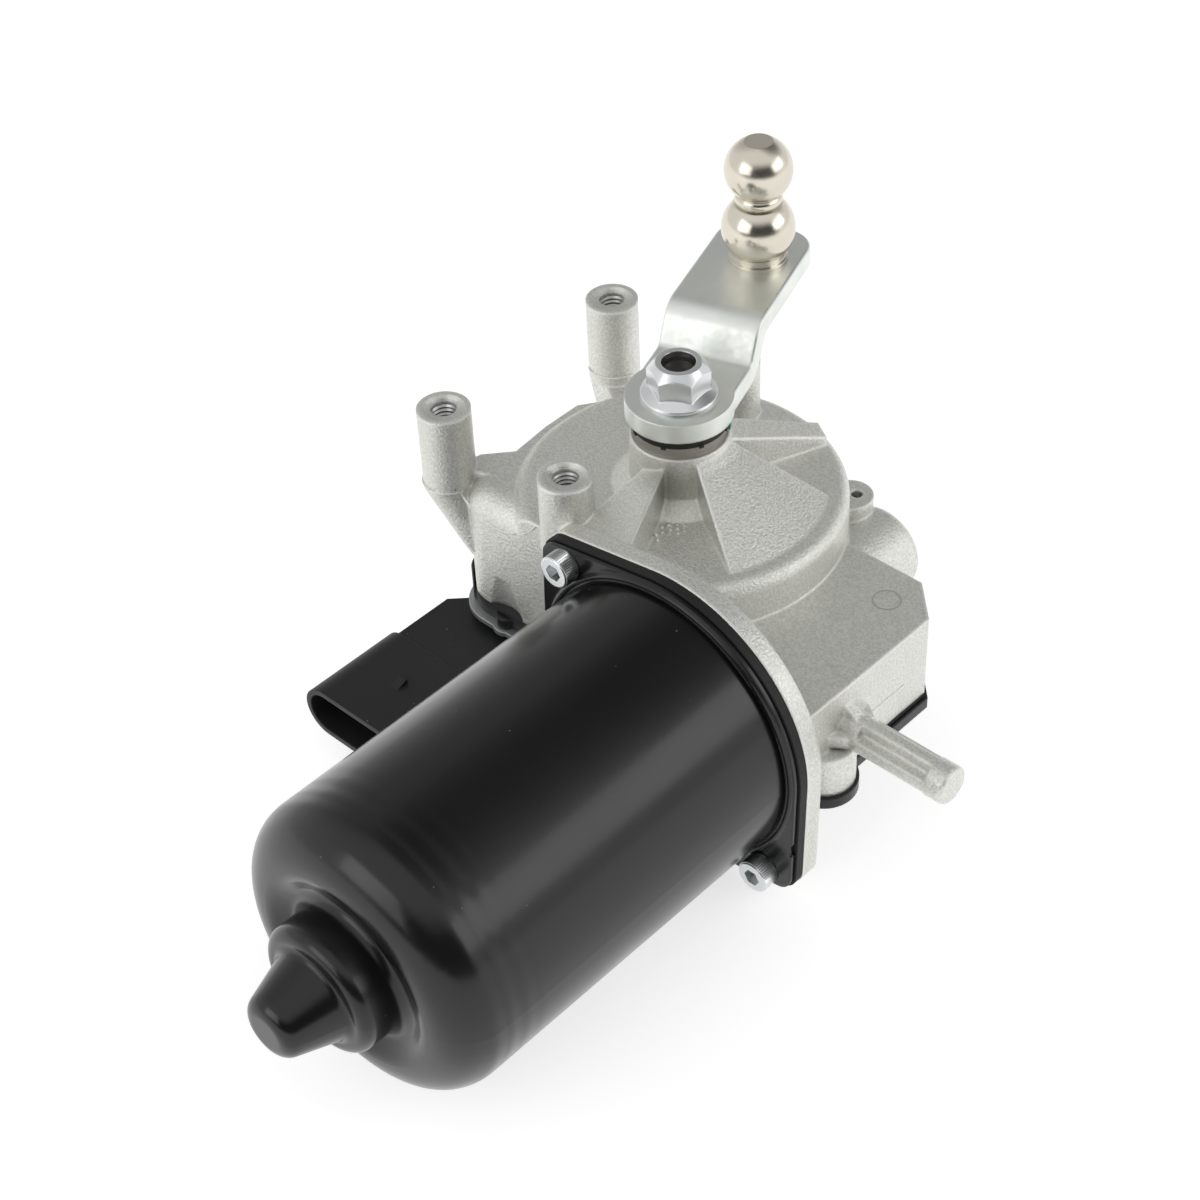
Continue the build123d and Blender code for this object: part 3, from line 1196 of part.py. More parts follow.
# One tooth space, cut straight but leaning with the worm's thread. It is centred on +X at mid width.
space_lean = WORM_LEAD / (2 * pi) / WORM_PITCH_RADIUS
space_half = WORM_LEAD / 4
CUT_OVERRUN = 1.0
tip_reach = WHEEL_TIP_RADIUS + CUT_OVERRUN
wide_half = space_half + flank_slope * (tip_reach - WHEEL_PITCH_RADIUS)
narrow_half = space_half - flank_slope * (WHEEL_PITCH_RADIUS - WHEEL_ROOT_RADIUS)
cut_start_z = WHEEL_BOTTOM_Z - CUT_OVERRUN
cut_height = WHEEL_WIDTH + 2 * CUT_OVERRUN
with BuildPart() as tooth_space:
    with BuildSketch(level(cut_start_z)):
        with BuildLine():
            shift = -space_lean * cut_height / 2
            Polyline(
                (WHEEL_ROOT_RADIUS, shift - narrow_half),
                (tip_reach, shift - wide_half),
                (tip_reach, shift + wide_half),
                (WHEEL_ROOT_RADIUS, shift + narrow_half),
                close=True,
            )
        make_face()
    extrude(amount=cut_height * (1 + space_lean**2) ** 0.5, dir=(0, space_lean, 1))

with BuildPart() as worm_wheel:
    with BuildSketch(level(WHEEL_BOTTOM_Z)):
        Circle(WHEEL_TIP_RADIUS)
    extrude(amount=WHEEL_WIDTH)
    with PolarLocations(0, WHEEL_TEETH):
        add(tooth_space.part, mode=Mode.SUBTRACT)
    # Recesses above and below the web, and the hub
    for face_z, inward in ((WHEEL_TOP_Z, -1), (WHEEL_BOTTOM_Z, 1)):
        with BuildSketch(level(face_z)):
            Circle(WHEEL_ROOT_RADIUS - WHEEL_RIM)
            Circle(WHEEL_HUB_RADIUS, mode=Mode.SUBTRACT)
        extrude(amount=inward * WHEEL_WEB_INSET, mode=Mode.SUBTRACT)
    with BuildSketch(level(WHEEL_TOP_Z)):
        Circle(WHEEL_HUB_RADIUS)
    extrude(amount=WHEEL_HUB_RISE)
    with BuildSketch(level(WHEEL_TOP_Z - WHEEL_WEB_INSET)):
        with PolarLocations((WHEEL_HUB_RADIUS + WHEEL_ROOT_RADIUS - WHEEL_RIM) / 2, 6):
            Rectangle(WHEEL_ROOT_RADIUS - WHEEL_RIM - WHEEL_HUB_RADIUS + 2.0, 2.0)
    extrude(amount=WHEEL_WEB_INSET)
    with BuildSketch(level(HUB_TOP_Z)):
        Circle(OUTPUT_RADIUS)
    extrude(amount=WHEEL_BOTTOM_Z - HUB_TOP_Z, mode=Mode.SUBTRACT)
worm_wheel.part.label = "worm_wheel"

# Thrust washer between the wheel's hub and the lower bush
with BuildPart() as thrust_washer:
    with BuildSketch(level(HUB_TOP_Z)):
        Circle(WHEEL_HUB_RADIUS - 0.5)
        Circle(OUTPUT_RADIUS, mode=Mode.SUBTRACT)
    extrude(amount=NECK_FOOT_Z - 0.1 - HUB_TOP_Z)
thrust_washer.part.label = "thrust_washer"

# Park switch: a contact disc under the wheel and three spring fingers on the cover
DISC_THICKNESS = 0.8
DISC_OUTER = WHEEL_ROOT_RADIUS - WHEEL_RIM + 2.5
DISC_INNER = WHEEL_HUB_RADIUS - 2.0
disc_bottom_z = WHEEL_BOTTOM_Z - DISC_THICKNESS
with BuildPart() as park_disc:
    with BuildSketch(level(disc_bottom_z)):
        Circle(DISC_OUTER)
        Circle(DISC_INNER, mode=Mode.SUBTRACT)
        with Locations((DISC_OUTER - 1.5, 0)):
            Rectangle(6.0, 9.0, mode=Mode.SUBTRACT)
    extrude(amount=DISC_THICKNESS)
park_disc.part.label = "park_disc"

FINGER_PITCH = 4.5
FINGER_WIDTH = 2.4
FINGER_STRIP = 0.5
finger_top_z = disc_bottom_z - GAP
finger_foot_z = COVER_BOTTOM_Z + COVER_FLOOR
with BuildPart() as park_fingers:
    for finger in (-1, 0, 1):
        with BuildSketch(Plane.XZ.offset(finger * FINGER_PITCH - FINGER_WIDTH / 2)):
            with BuildLine():
                Polyline(
                    (-30.0, finger_foot_z + FINGER_STRIP / 2),
                    (-24.0, finger_foot_z + FINGER_STRIP / 2),
                    (-14.0, finger_top_z - FINGER_STRIP / 2 - 0.4),
                    (-11.5, finger_top_z - FINGER_STRIP / 2),
                    (-9.5, finger_top_z - FINGER_STRIP / 2 - 1.2),
                )
                offset(amount=FINGER_STRIP / 2, side=Side.BOTH, kind=Kind.INTERSECTION)
            make_face()
        extrude(amount=FINGER_WIDTH)
park_fingers.part.label = "park_fingers"

# Crank arm: a joggled steel strip, broad and round at the shaft and squared at the stud
with BuildPart() as crank_arm:
    with BuildSketch(crank_section):
        with BuildLine():
            FilletPolyline(
                (-ARM_HUB_RADIUS - 1.0, ARM_SEAT_Z + ARM_THICKNESS / 2),
                (ARM_BEND_START + 1.5, ARM_SEAT_Z + ARM_THICKNESS / 2),
                (ARM_BEND_START + ARM_BEND_RUN + 1.0, PLATE_TOP_Z - ARM_THICKNESS / 2),
                (ARM_LENGTH + 1.0, PLATE_TOP_Z - ARM_THICKNESS / 2),
                radius=5.0,
            )
            offset(amount=ARM_THICKNESS / 2, side=Side.BOTH, kind=Kind.INTERSECTION)
        make_face()
    extrude(amount=2 * ARM_WIDTH, both=True)
    with BuildSketch(Plane(origin=(0, 0, 0), x_dir=crank_section.x_dir, z_dir=(0, 0, 1))) as plan:
        Circle(ARM_HUB_RADIUS)
        with Locations((ARM_LENGTH / 2 + 6.0, 0)):
            RectangleRounded(ARM_LENGTH - 12.0, ARM_WIDTH, ARM_CORNER)
        with Locations((ARM_LENGTH / 2 - 8.0, 0)):
            Rectangle(ARM_LENGTH - 16.0, ARM_WIDTH)
    extrude(amount=60.0, mode=Mode.INTERSECT)
    long_edges = crank_arm.faces().filter_by(Axis.Z).sort_by(Axis.Z)[-1].outer_wire().edges()
    fillet(long_edges, 0.8)
    with BuildSketch(level(ARM_SEAT_Z)):
        Circle(ARM_BORE)
    extrude(amount=ARM_THICKNESS, mode=Mode.SUBTRACT)
    with BuildSketch(level(PLATE_TOP_Z - ARM_THICKNESS)):
        with Locations((STUD_X, STUD_Y)):
            Circle(STUD_NECK_RADIUS)
    extrude(amount=ARM_THICKNESS, mode=Mode.SUBTRACT)
crank_arm.part.label = "crank_arm"

with BuildPart() as crank_nut:
    with BuildSketch(shaft_section):
        with BuildLine():
            Polyline(
                (THREAD_RADIUS, ARM_TOP_Z),
                (NUT_FLANGE_RADIUS - 0.3, ARM_TOP_Z),
                (NUT_FLANGE_RADIUS, ARM_TOP_Z + 0.5),
                (NUT_FLANGE_RADIUS - 0.2, ARM_TOP_Z + 1.1),
                (NUT_FLATS / 2 - 0.5, ARM_TOP_Z + 3.0),
                (THREAD_RADIUS, ARM_TOP_Z + 3.0),
                close=True,
            )
        make_face()
    revolve(axis=Axis.Z)
    with BuildSketch(level(ARM_TOP_Z + 1.2)):
        RegularPolygon(NUT_FLATS / 2, 6, major_radius=False, rotation=NUT_TURN)
        Circle(THREAD_RADIUS, mode=Mode.SUBTRACT)
    extrude(amount=NUT_HEIGHT - 1.2)
    # Rounded corners at the top of the hexagon
    with BuildSketch(shaft_section):
        with BuildLine():
            Polyline(
                (0, ARM_TOP_Z),
                (NUT_FLANGE_RADIUS + 1.0, ARM_TOP_Z),
                (NUT_FLANGE_RADIUS + 1.0, ARM_TOP_Z + 5.2),
                (NUT_FLATS / 2 + 1.1, ARM_TOP_Z + 6.9),
                (NUT_FLATS / 2 - 1.3, ARM_TOP_Z + NUT_HEIGHT),
                (0, ARM_TOP_Z + NUT_HEIGHT),
                close=True,
            )
        make_face()
    revolve(axis=Axis.Z, mode=Mode.INTERSECT)
crank_nut.part.label = "crank_nut"

# Double ball stud, riveted through the arm
stud_axis = Axis((STUD_X, STUD_Y, 0), (0, 0, 1))
stud_section = Plane(origin=(STUD_X, STUD_Y, 0), x_dir=(1, 0, 0), z_dir=(0, -1, 0))
RIVET_HEAD_RADIUS = 7.0
with BuildPart() as ball_stud:
    with BuildSketch(stud_section):
        with BuildLine():
            Polyline(
                (0, PLATE_TOP_Z - ARM_THICKNESS - 1.6),
                (RIVET_HEAD_RADIUS - 1.2, PLATE_TOP_Z - ARM_THICKNESS - 1.6),
                (RIVET_HEAD_RADIUS, PLATE_TOP_Z - ARM_THICKNESS),
                (STUD_NECK_RADIUS, PLATE_TOP_Z - ARM_THICKNESS),
                (STUD_NECK_RADIUS, PLATE_TOP_Z),
                (STUD_FOOT_RADIUS, PLATE_TOP_Z),
                (STUD_FOOT_RADIUS, PLATE_TOP_Z + 0.9),
                (STUD_FOOT_RADIUS - 0.6, PLATE_TOP_Z + 1.2),
                (STUD_FOOT_RADIUS - 0.6, LOWER_BALL_Z - 6.0),
                (STUD_NECK_RADIUS, LOWER_BALL_Z),
                (STUD_NECK_RADIUS, UPPER_BALL_Z),
                (0, UPPER_BALL_Z),
                close=True,
            )
        make_face()
    revolve(axis=stud_axis)
    with Locations((STUD_X, STUD_Y, LOWER_BALL_Z)):
        Sphere(LOWER_BALL_RADIUS)
    with Locations((STUD_X, STUD_Y, UPPER_BALL_Z)):
        Sphere(UPPER_BALL_RADIUS)
    # Turned face under the lower ball, where the foot's collar is wider than the sphere
    with BuildSketch(level(PLATE_TOP_Z)):
        with Locations((STUD_X, STUD_Y)):
            Circle(2 * LOWER_BALL_RADIUS)
            Circle(RIVET_HEAD_RADIUS + 1.0, mode=Mode.SUBTRACT)
    extrude(amount=-2.0, mode=Mode.SUBTRACT)
    # Small flat on the top of the upper ball
    flat_z = UPPER_BALL_Z + (UPPER_BALL_RADIUS**2 - STUD_TOP_FLAT**2) ** 0.5
    with BuildSketch(level(flat_z)):
        with Locations((STUD_X, STUD_Y)):
            Circle(UPPER_BALL_RADIUS)
    extrude(amount=UPPER_BALL_RADIUS, mode=Mode.SUBTRACT)
ball_stud.part.label = "ball_stud"

# Armature: shaft with the worm cut on it, laminations, windings and commutator
SHAFT_END_Y = rear_bush_y - 5.0
COMMUTATOR_START_Y = carrier_inner_y - 0.6
ARMATURE_START_Y = magnet_start_y + (MAGNET_LENGTH - ARMATURE_LENGTH) / 2
worm_start_y = -WORM_LENGTH / 2

with BuildPart() as armature_shaft:
    with BuildSketch(motor_section):
        with BuildLine():
            Polyline(
                (0, SHAFT_END_Y),
                (SHAFT_RADIUS - 0.8, SHAFT_END_Y),
                (SHAFT_RADIUS, SHAFT_END_Y + 0.8),
                (SHAFT_RADIUS, worm_start_y - 4.0),
                (WORM_ROOT_RADIUS, worm_start_y - 2.5),
                (WORM_ROOT_RADIUS, -worm_start_y + 2.5),
                (JOURNAL_RADIUS, -worm_start_y + 3.5),
                (JOURNAL_RADIUS, JOURNAL_END_Y - GAP - 0.5),
                (JOURNAL_RADIUS - 0.5, JOURNAL_END_Y - GAP),
                (0, JOURNAL_END_Y - GAP),
                close=True,
            )
        make_face()
    revolve(axis=motor_axis)

# The thread is swept about Z, then laid on the motor's axis. It starts on the far side from the
# wheel, half a turn off, so that the middle of a turn lies on the line of centres.
thread_half = WORM_LEAD / 4 - TOOTH_BACKLASH / 2
thread_root = WORM_ROOT_RADIUS - 0.3
root_half = thread_half + flank_slope * (WORM_PITCH_RADIUS - thread_root)
tip_half = thread_half - flank_slope * (WORM_TIP_RADIUS - WORM_PITCH_RADIUS)
with BuildPart() as worm_thread:
    with BuildLine() as thread_path:
        Helix(WORM_LEAD, WORM_LENGTH, WORM_PITCH_RADIUS)
    with BuildSketch(Plane.XZ):
        with BuildLine():
            Polyline(
                (thread_root, -root_half),
                (WORM_TIP_RADIUS, -tip_half),
                (WORM_TIP_RADIUS, tip_half),
                (thread_root, root_half),
                close=True,
            )
        make_face()
    sweep(path=thread_path.line, is_frenet=True)
worm_place = Location((MOTOR_X, worm_start_y, MOTOR_Z), (-90, 0, 0))

with armature_shaft:
    add(worm_thread.part.moved(worm_place))
armature_shaft.part.label = "armature_shaft"

SLOT_WIDTH = 5.0
SLOT_FLOOR = 14.0
slot_depth = ARMATURE_RADIUS - 2.0 - SLOT_FLOOR
with BuildPart() as armature_core:
    with BuildSketch(across(ARMATURE_START_Y + ARMATURE_LENGTH)):
        with Locations((MOTOR_X, MOTOR_Z)):
            Circle(ARMATURE_RADIUS)
            Circle(SHAFT_RADIUS, mode=Mode.SUBTRACT)
            with PolarLocations(SLOT_FLOOR + slot_depth / 2, ARMATURE_SLOTS):
                Rectangle(slot_depth, SLOT_WIDTH, mode=Mode.SUBTRACT)
            with PolarLocations(ARMATURE_RADIUS, ARMATURE_SLOTS):
                Rectangle(5.0, 2.0, mode=Mode.SUBTRACT)
    extrude(amount=ARMATURE_LENGTH)
armature_core.part.label = "armature_core"

END_TURN = 6.5
with BuildPart() as armature_windings:
    with BuildSketch(across(ARMATURE_START_Y + ARMATURE_LENGTH)):
        with Locations((MOTOR_X, MOTOR_Z)):
            with PolarLocations(SLOT_FLOOR + slot_depth / 2, ARMATURE_SLOTS):
                Rectangle(slot_depth - 0.4, SLOT_WIDTH - 0.4)
    extrude(amount=ARMATURE_LENGTH)
    for ring_y, ring_dir in ((ARMATURE_START_Y, -1), (ARMATURE_START_Y + ARMATURE_LENGTH, 1)):
        with BuildSketch(motor_section):
            with BuildLine():
                Polyline(
                    (SHAFT_RADIUS + 1.6, ring_y),
                    (ARMATURE_RADIUS - 2.2, ring_y),
                    (ARMATURE_RADIUS - 3.4, ring_y + ring_dir * END_TURN * 0.7),
                    (ARMATURE_RADIUS - 7.0, ring_y + ring_dir * END_TURN),
                    (SHAFT_RADIUS + 5.0, ring_y + ring_dir * END_TURN),
                    (SHAFT_RADIUS + 1.6, ring_y + ring_dir * END_TURN * 0.6),
                    close=True,
                )
            make_face()
        revolve(axis=motor_axis)
armature_windings.part.label = "armature_windings"

with BuildPart() as commutator:
    with BuildSketch(across(COMMUTATOR_START_Y)):
        with Locations((MOTOR_X, MOTOR_Z)):
            Circle(COMMUTATOR_RADIUS)
            Circle(SHAFT_RADIUS, mode=Mode.SUBTRACT)
            with PolarLocations(COMMUTATOR_RADIUS, ARMATURE_SLOTS):
                Rectangle(2.4, 0.6, mode=Mode.SUBTRACT)
    extrude(amount=COMMUTATOR_LENGTH)
commutator.part.label = "commutator"

pieces = [
    gear_housing, motor_can, brush_carrier, carbon_brushes, brush_boxes, brush_springs,
    choke_coils, field_magnets, magnet_clips, rear_bush, bush_retainer, front_bearing,
    worm_end_bush, thrust_button, flange_screws, cover_seal, gear_cover, cover_shield,
    cover_screws, plug_socket, plug_terminals, output_bushes, shaft_seal, splash_ring,
    output_shaft, retaining_ring, worm_wheel, thrust_washer, park_disc, park_fingers,
    crank_arm, crank_nut, ball_stud, armature_shaft, armature_core, armature_windings,
    commutator,
]
for piece in pieces:
    export_step(piece.part, f"parts/{piece.part.label}.step")
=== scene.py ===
"""Looks, small details, light and camera for the wiper motor. Metres, in the frame of the CAD model."""
import json
from math import cos, pi, radians, sin

import bmesh
import bpy
from mathutils import Matrix, Vector


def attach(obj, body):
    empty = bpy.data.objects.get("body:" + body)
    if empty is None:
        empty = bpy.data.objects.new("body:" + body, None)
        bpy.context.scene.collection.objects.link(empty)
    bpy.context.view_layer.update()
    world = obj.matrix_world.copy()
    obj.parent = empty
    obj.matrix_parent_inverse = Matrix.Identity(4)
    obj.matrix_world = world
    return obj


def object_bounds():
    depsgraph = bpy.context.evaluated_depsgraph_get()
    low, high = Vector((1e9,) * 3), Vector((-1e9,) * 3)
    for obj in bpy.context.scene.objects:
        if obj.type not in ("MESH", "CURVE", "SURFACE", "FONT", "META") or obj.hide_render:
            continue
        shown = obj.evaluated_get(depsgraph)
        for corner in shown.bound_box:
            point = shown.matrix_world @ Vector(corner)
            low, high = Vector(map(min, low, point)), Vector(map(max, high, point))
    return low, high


bl_info = {
    "name": "Wiper motor",
    "version": (1, 0, 0),
    "blender": (4, 5, 0),
    "location": "View3D > Sidebar > Wiper motor",
    "description": "Finishes, small details, light and camera for the wiper motor",
    "category": "Object",
}

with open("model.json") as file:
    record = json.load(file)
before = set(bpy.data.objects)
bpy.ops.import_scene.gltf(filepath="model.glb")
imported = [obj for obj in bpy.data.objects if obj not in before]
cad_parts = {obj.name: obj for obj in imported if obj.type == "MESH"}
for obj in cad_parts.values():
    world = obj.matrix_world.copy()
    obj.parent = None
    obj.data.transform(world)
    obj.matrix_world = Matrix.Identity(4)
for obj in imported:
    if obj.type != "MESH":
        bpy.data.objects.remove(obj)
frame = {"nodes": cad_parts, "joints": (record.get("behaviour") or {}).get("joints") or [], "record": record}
CAD_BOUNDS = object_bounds()
MOUNTS = {mount["name"]: mount for mount in frame["record"]["mounts"]}
JOINTS = {joint["name"]: joint for joint in frame["joints"]}
NODE_SLOT = {part["node"]: part["material_slot"] for part in frame["record"]["subparts"]}

MM = 0.001

# Places and sizes that the CAD model gives
BOSSES = MOUNTS["mounting_bosses"]
BOSS_MIDDLE = BOSSES["pos_m"][:2]
BOSS_HALF = (BOSSES["dims"]["spacing_x_mm"] / 2 * MM, BOSSES["dims"]["spacing_y_mm"] / 2 * MM)
BOSS_AXES = [
    Vector((BOSS_MIDDLE[0] + side * BOSS_HALF[0], BOSS_MIDDLE[1] + end * BOSS_HALF[1], 0.0))
    for side in (-1, 1)
    for end in (1, -1)
]
TAP_RADIUS = BOSSES["dims"]["hole_r_mm"] * MM
MOTOR_X, _, MOTOR_Z = JOINTS["armature_spin"]["pos_m"]
STUD_AXIS = MOUNTS["ball_stud_upper"]["pos_m"][:2]
FLOOR_Z = CAD_BOUNDS[0][2]

# Colours that have no setting of their own
WHITE = (1.0, 1.0, 1.0)
MATT_BLACK = (0.011, 0.011, 0.011)
RUBBER_BLACK = (0.018, 0.018, 0.018)
LIP_BLACK = (0.008, 0.008, 0.008)
SHAFT_BROWN = (0.055, 0.05, 0.045)
THREAD_GREY = (0.5, 0.5, 0.49)
LINE_GREY = (0.42, 0.415, 0.385)
PAINT_DUST = (0.1, 0.1, 0.095)
PLASTIC_DUST = (0.12, 0.12, 0.115)


def colour_prop(label, text, value):
    return bpy.props.FloatVectorProperty(
        name=label, description=text, subtype="COLOR", size=3, min=0.0, max=1.0, default=value
    )


def share_prop(label, text, value):
    return bpy.props.FloatProperty(
        name=label, description=text, subtype="FACTOR", min=0.0, max=1.0, default=value
    )


def size_prop(label, text, value):
    return bpy.props.FloatProperty(
        name=label, description=text, subtype="DISTANCE", unit="LENGTH", default=value, precision=5
    )


def strength_prop(label, text, value):
    return bpy.props.FloatProperty(name=label, description=text, min=0.0, default=value)


def power_prop(label, text, value):
    return bpy.props.FloatProperty(name=label, description=text, min=0.0, unit="POWER", default=value)


class CastingSettings(bpy.types.PropertyGroup):
    colour: colour_prop("Colour", "Colour of the blasted casting", (0.78, 0.78, 0.725))
    # The edge colour is painted highlight on the edges, and also the light side of the grain
    bright: colour_prop("Edge colour", "Colour of its rubbed edges", (0.97, 0.97, 0.94))
    # Brown painted shade on the spigot under the arm and in the pocket between the ribs
    painted_shade: colour_prop("Grime", "Colour of the grime at the neck and in the pocket", (0.27, 0.255, 0.21))
    roughness: share_prop("Roughness", "Roughness of the blasted skin", 0.43)
    grain: share_prop("Grain", "Depth of the blasted grain", 0.7)


class CanSettings(bpy.types.PropertyGroup):
    colour: colour_prop("Colour", "Colour of the can's paint", (0.006, 0.006, 0.0065))
    roughness: share_prop("Roughness", "Roughness of the paint", 0.22)
    gloss: share_prop("Gloss", "Strength of the paint's reflection", 0.43)
    dust: share_prop("Dust", "Share of the surface that has a speck of dust", 0.02)


class BrightSettings(bpy.types.PropertyGroup):
    arm: colour_prop("Arm", "Colour of the zinc plate on the arm", (0.84, 0.865, 0.825))
    arm_roughness: share_prop("Arm roughness", "Roughness of the arm", 0.36)
    stud: colour_prop("Ball stud", "Colour of the polished stud", (0.72, 0.675, 0.58))
    stud_roughness: share_prop("Stud roughness", "Roughness of the stud", 0.19)
    zinc: colour_prop("Screws", "Colour of the nut and screws", (0.74, 0.76, 0.765))
    zinc_roughness: share_prop("Screw roughness", "Roughness of the nut and screws", 0.22)


class PlasticSettings(bpy.types.PropertyGroup):
    colour: colour_prop("Colour", "Colour of the black plastics", (0.012, 0.012, 0.013))
    roughness: share_prop("Roughness", "Roughness of the plug's moulded skin", 0.48)
    shield: colour_prop("Shield", "Colour of the plate under the cover", (0.5, 0.51, 0.52))


class InnerSettings(bpy.types.PropertyGroup):
    nylon: colour_prop("Wheel", "Colour of the worm wheel", (0.78, 0.74, 0.62))
    copper: colour_prop("Copper", "Colour of the windings", (0.70, 0.32, 0.15))
    ferrite: colour_prop("Magnets", "Colour of the magnets", (0.06, 0.06, 0.065))


class DetailSettings(bpy.types.PropertyGroup):
    thread_pitch: size_prop("Thread pitch", "Pitch of the tapped threads", 1.25 * MM)
    thread_depth: size_prop("Thread depth", "Depth of the tapped threads", 0.42 * MM)
    knurls: bpy.props.IntProperty(
        name="Knurls", description="Ridges around each cap screw's head", min=12, default=48
    )
    dab: colour_prop("Paint dab", "Colour of the inspector's dab", (0.02, 0.24, 0.22))


class StageSettings(bpy.types.PropertyGroup):
    floor: colour_prop("Floor", "Colour of the floor", (0.55, 0.55, 0.55))
    glow: share_prop("Glow", "Light that the lit floor gives off", 0.7)
    side_light: strength_prop("Side light", "Strength of the light from the sides", 0.85)
    roof_light: strength_prop("Roof light", "Strength of the light from the dark roof", 0.22)
    right_box: power_prop("Right box", "Power of the soft box on the right", 1.9)
    left_box: power_prop("Left box", "Power of the soft box on the left", 3.0)


SETTINGS = {
    "wm_casting": CastingSettings,
    "wm_can": CanSettings,
    "wm_bright": BrightSettings,
    "wm_plastic": PlasticSettings,
    "wm_inner": InnerSettings,
    "wm_detail": DetailSettings,
    "wm_stage": StageSettings,
}


BEVEL_SAMPLES = 6

# The Mix node's sockets for its mask, its two colours and its result, which share their names with others
MIX_INPUTS = (0, 6, 7)
MIX_OUTPUT = 2


class Tree:
    """Short calls for a node tree. A value is a number, a colour, a vector or another node's output."""

    def __init__(self, tree):
        self.tree = tree

    def add(self, kind, **settings):
        node = self.tree.nodes.new(kind)
        for key, value in settings.items():
            setattr(node, key, value)
        return node

    def feed(self, socket, value):
        """Gives a socket its value."""
        if isinstance(value, bpy.types.NodeSocket):
            self.tree.links.new(value, socket)
        elif socket.type == "RGBA":
            socket.default_value = (*value, 1.0)
        else:
            socket.default_value = value

    def fed(self, kind, values, **settings):
        """A new node whose first inputs have these values."""
        node = self.add(kind, **settings)
        for socket, value in zip(node.inputs, values):
            self.feed(socket, value)
        return node

    def math(self, operation, *values, clamp=False):
        return self.fed("ShaderNodeMath", values, operation=operation, use_clamp=clamp).outputs[0]

    def measure(self, operation, *vectors):
        """A number worked out from vectors, such as a dot product or a distance."""
        return self.fed("ShaderNodeVectorMath", vectors, operation=operation).outputs["Value"]

    def span(self, value, low, high, to_low, to_high):
        """value mapped from low..high to to_low..to_high, and kept inside them."""
        given = (value, low, high, to_low, to_high)
        return self.fed("ShaderNodeMapRange", given, clamp=True).outputs[0]

    def mix(self, mask, under, over):
        """Colour over laid on colour under where mask is."""
        node = self.add("ShaderNodeMix", data_type="RGBA")
        for number, value in zip(MIX_INPUTS, (mask, under, over)):
            self.feed(node.inputs[number], value)
        return node.outputs[MIX_OUTPUT]

    def cover(self, mask, share, under, over):
        """Colour over laid on colour under where mask is, by a share."""
        return self.mix(self.math("MULTIPLY", mask, share), under, over)

    def place(self):
        """The Object coordinates."""
        return self.add("ShaderNodeTexCoord").outputs["Object"]

    def split(self, vector):
        """x, y and z of a vector."""
        return self.fed("ShaderNodeSeparateXYZ", (vector,)).outputs

    def noise(self, vector, scale, detail):
        node = self.add("ShaderNodeTexNoise")
        self.feed(node.inputs["Vector"], vector)
        self.feed(node.inputs["Scale"], scale)
        self.feed(node.inputs["Detail"], detail)
        return node

    def rounded(self, radius):
        """The normal with its edges rounded by radius."""
        node = self.add("ShaderNodeBevel", samples=BEVEL_SAMPLES)
        self.feed(node.inputs["Radius"], radius)
        return node.outputs[0]


GRAIN_DETAIL = 3.0
GRAIN_ROUGHNESS = 0.6
STREAK_DETAIL = 4.0
STREAK_LOW = 0.35
STREAK_HIGH = 0.65


def edge_wear(tree, given):
    """Mask of the edges for the painted highlight, where the rounded normal leaves the plain one."""
    plain_normal = tree.add("ShaderNodeNewGeometry").outputs["Normal"]
    same = tree.measure("DOT_PRODUCT", tree.rounded(given["Radius"]), plain_normal)
    return tree.math("MULTIPLY", tree.math("SUBTRACT", 1.0, same), given["Gain"], clamp=True)


def grain(tree, given):
    """Fine or cloudy noise, between Low and High of its range."""
    noise = tree.noise(tree.place(), given["Scale"], GRAIN_DETAIL)
    tree.feed(noise.inputs["Roughness"], GRAIN_ROUGHNESS)
    return tree.span(noise.outputs["Fac"], given["Low"], given["High"], 0.0, 1.0)


def specks(tree, given):
    """Small round specks, each in its own cell, on a share of the cells."""
    cells = tree.add("ShaderNodeTexVoronoi")
    tree.feed(cells.inputs["Vector"], tree.place())
    tree.feed(cells.inputs["Scale"], given["Scale"])
    pick = tree.add("ShaderNodeSeparateColor")
    tree.feed(pick.inputs[0], cells.outputs["Color"])
    chosen = tree.math("LESS_THAN", pick.outputs[0], given["Share"])
    size = tree.math("MULTIPLY", given["Size"], pick.outputs[1])
    return tree.math("MULTIPLY", chosen, tree.math("LESS_THAN", cells.outputs["Distance"], size))


def streaks(tree, given):
    """Soft streaks along Y, as on rolled or drawn metal."""
    x, y, z = tree.split(tree.place())
    drawn = tree.fed("ShaderNodeCombineXYZ", (x, tree.math("DIVIDE", y, given["Stretch"]), z))
    noise = tree.noise(drawn.outputs[0], given["Scale"], STREAK_DETAIL)
    return tree.span(noise.outputs["Fac"], STREAK_LOW, STREAK_HIGH, 0.0, 1.0)


# Each shared effect with its output's name and its inputs
EFFECTS = {
    "edge_wear": (edge_wear, "Mask", ("Radius", "Gain")),
    "grain": (grain, "Value", ("Scale", "Low", "High")),
    "specks": (specks, "Mask", ("Scale", "Share", "Size")),
    "streaks": (streaks, "Value", ("Scale", "Stretch")),
}
GROUPS = {}


def effect_group(name):
    """The node group of a shared effect, built at its first use."""
    if name not in GROUPS:
        fill, output, inputs = EFFECTS[name]
        group = bpy.data.node_groups.new(name, "ShaderNodeTree")
        for label in inputs:
            group.interface.new_socket(label, in_out="INPUT", socket_type="NodeSocketFloat")
        group.interface.new_socket(output, in_out="OUTPUT", socket_type="NodeSocketFloat")
        tree = Tree(group)
        given = tree.add("NodeGroupInput").outputs
        tree.feed(tree.add("NodeGroupOutput").inputs[output], fill(tree, given))
        GROUPS[name] = group
    return GROUPS[name]


def use(tree, name, **values):
    """Places a shared effect in a material with its own values."""
    node = tree.add("ShaderNodeGroup", node_tree=effect_group(name))
    for key, value in values.items():
        node.inputs[key].default_value = value
    return node.outputs[0]


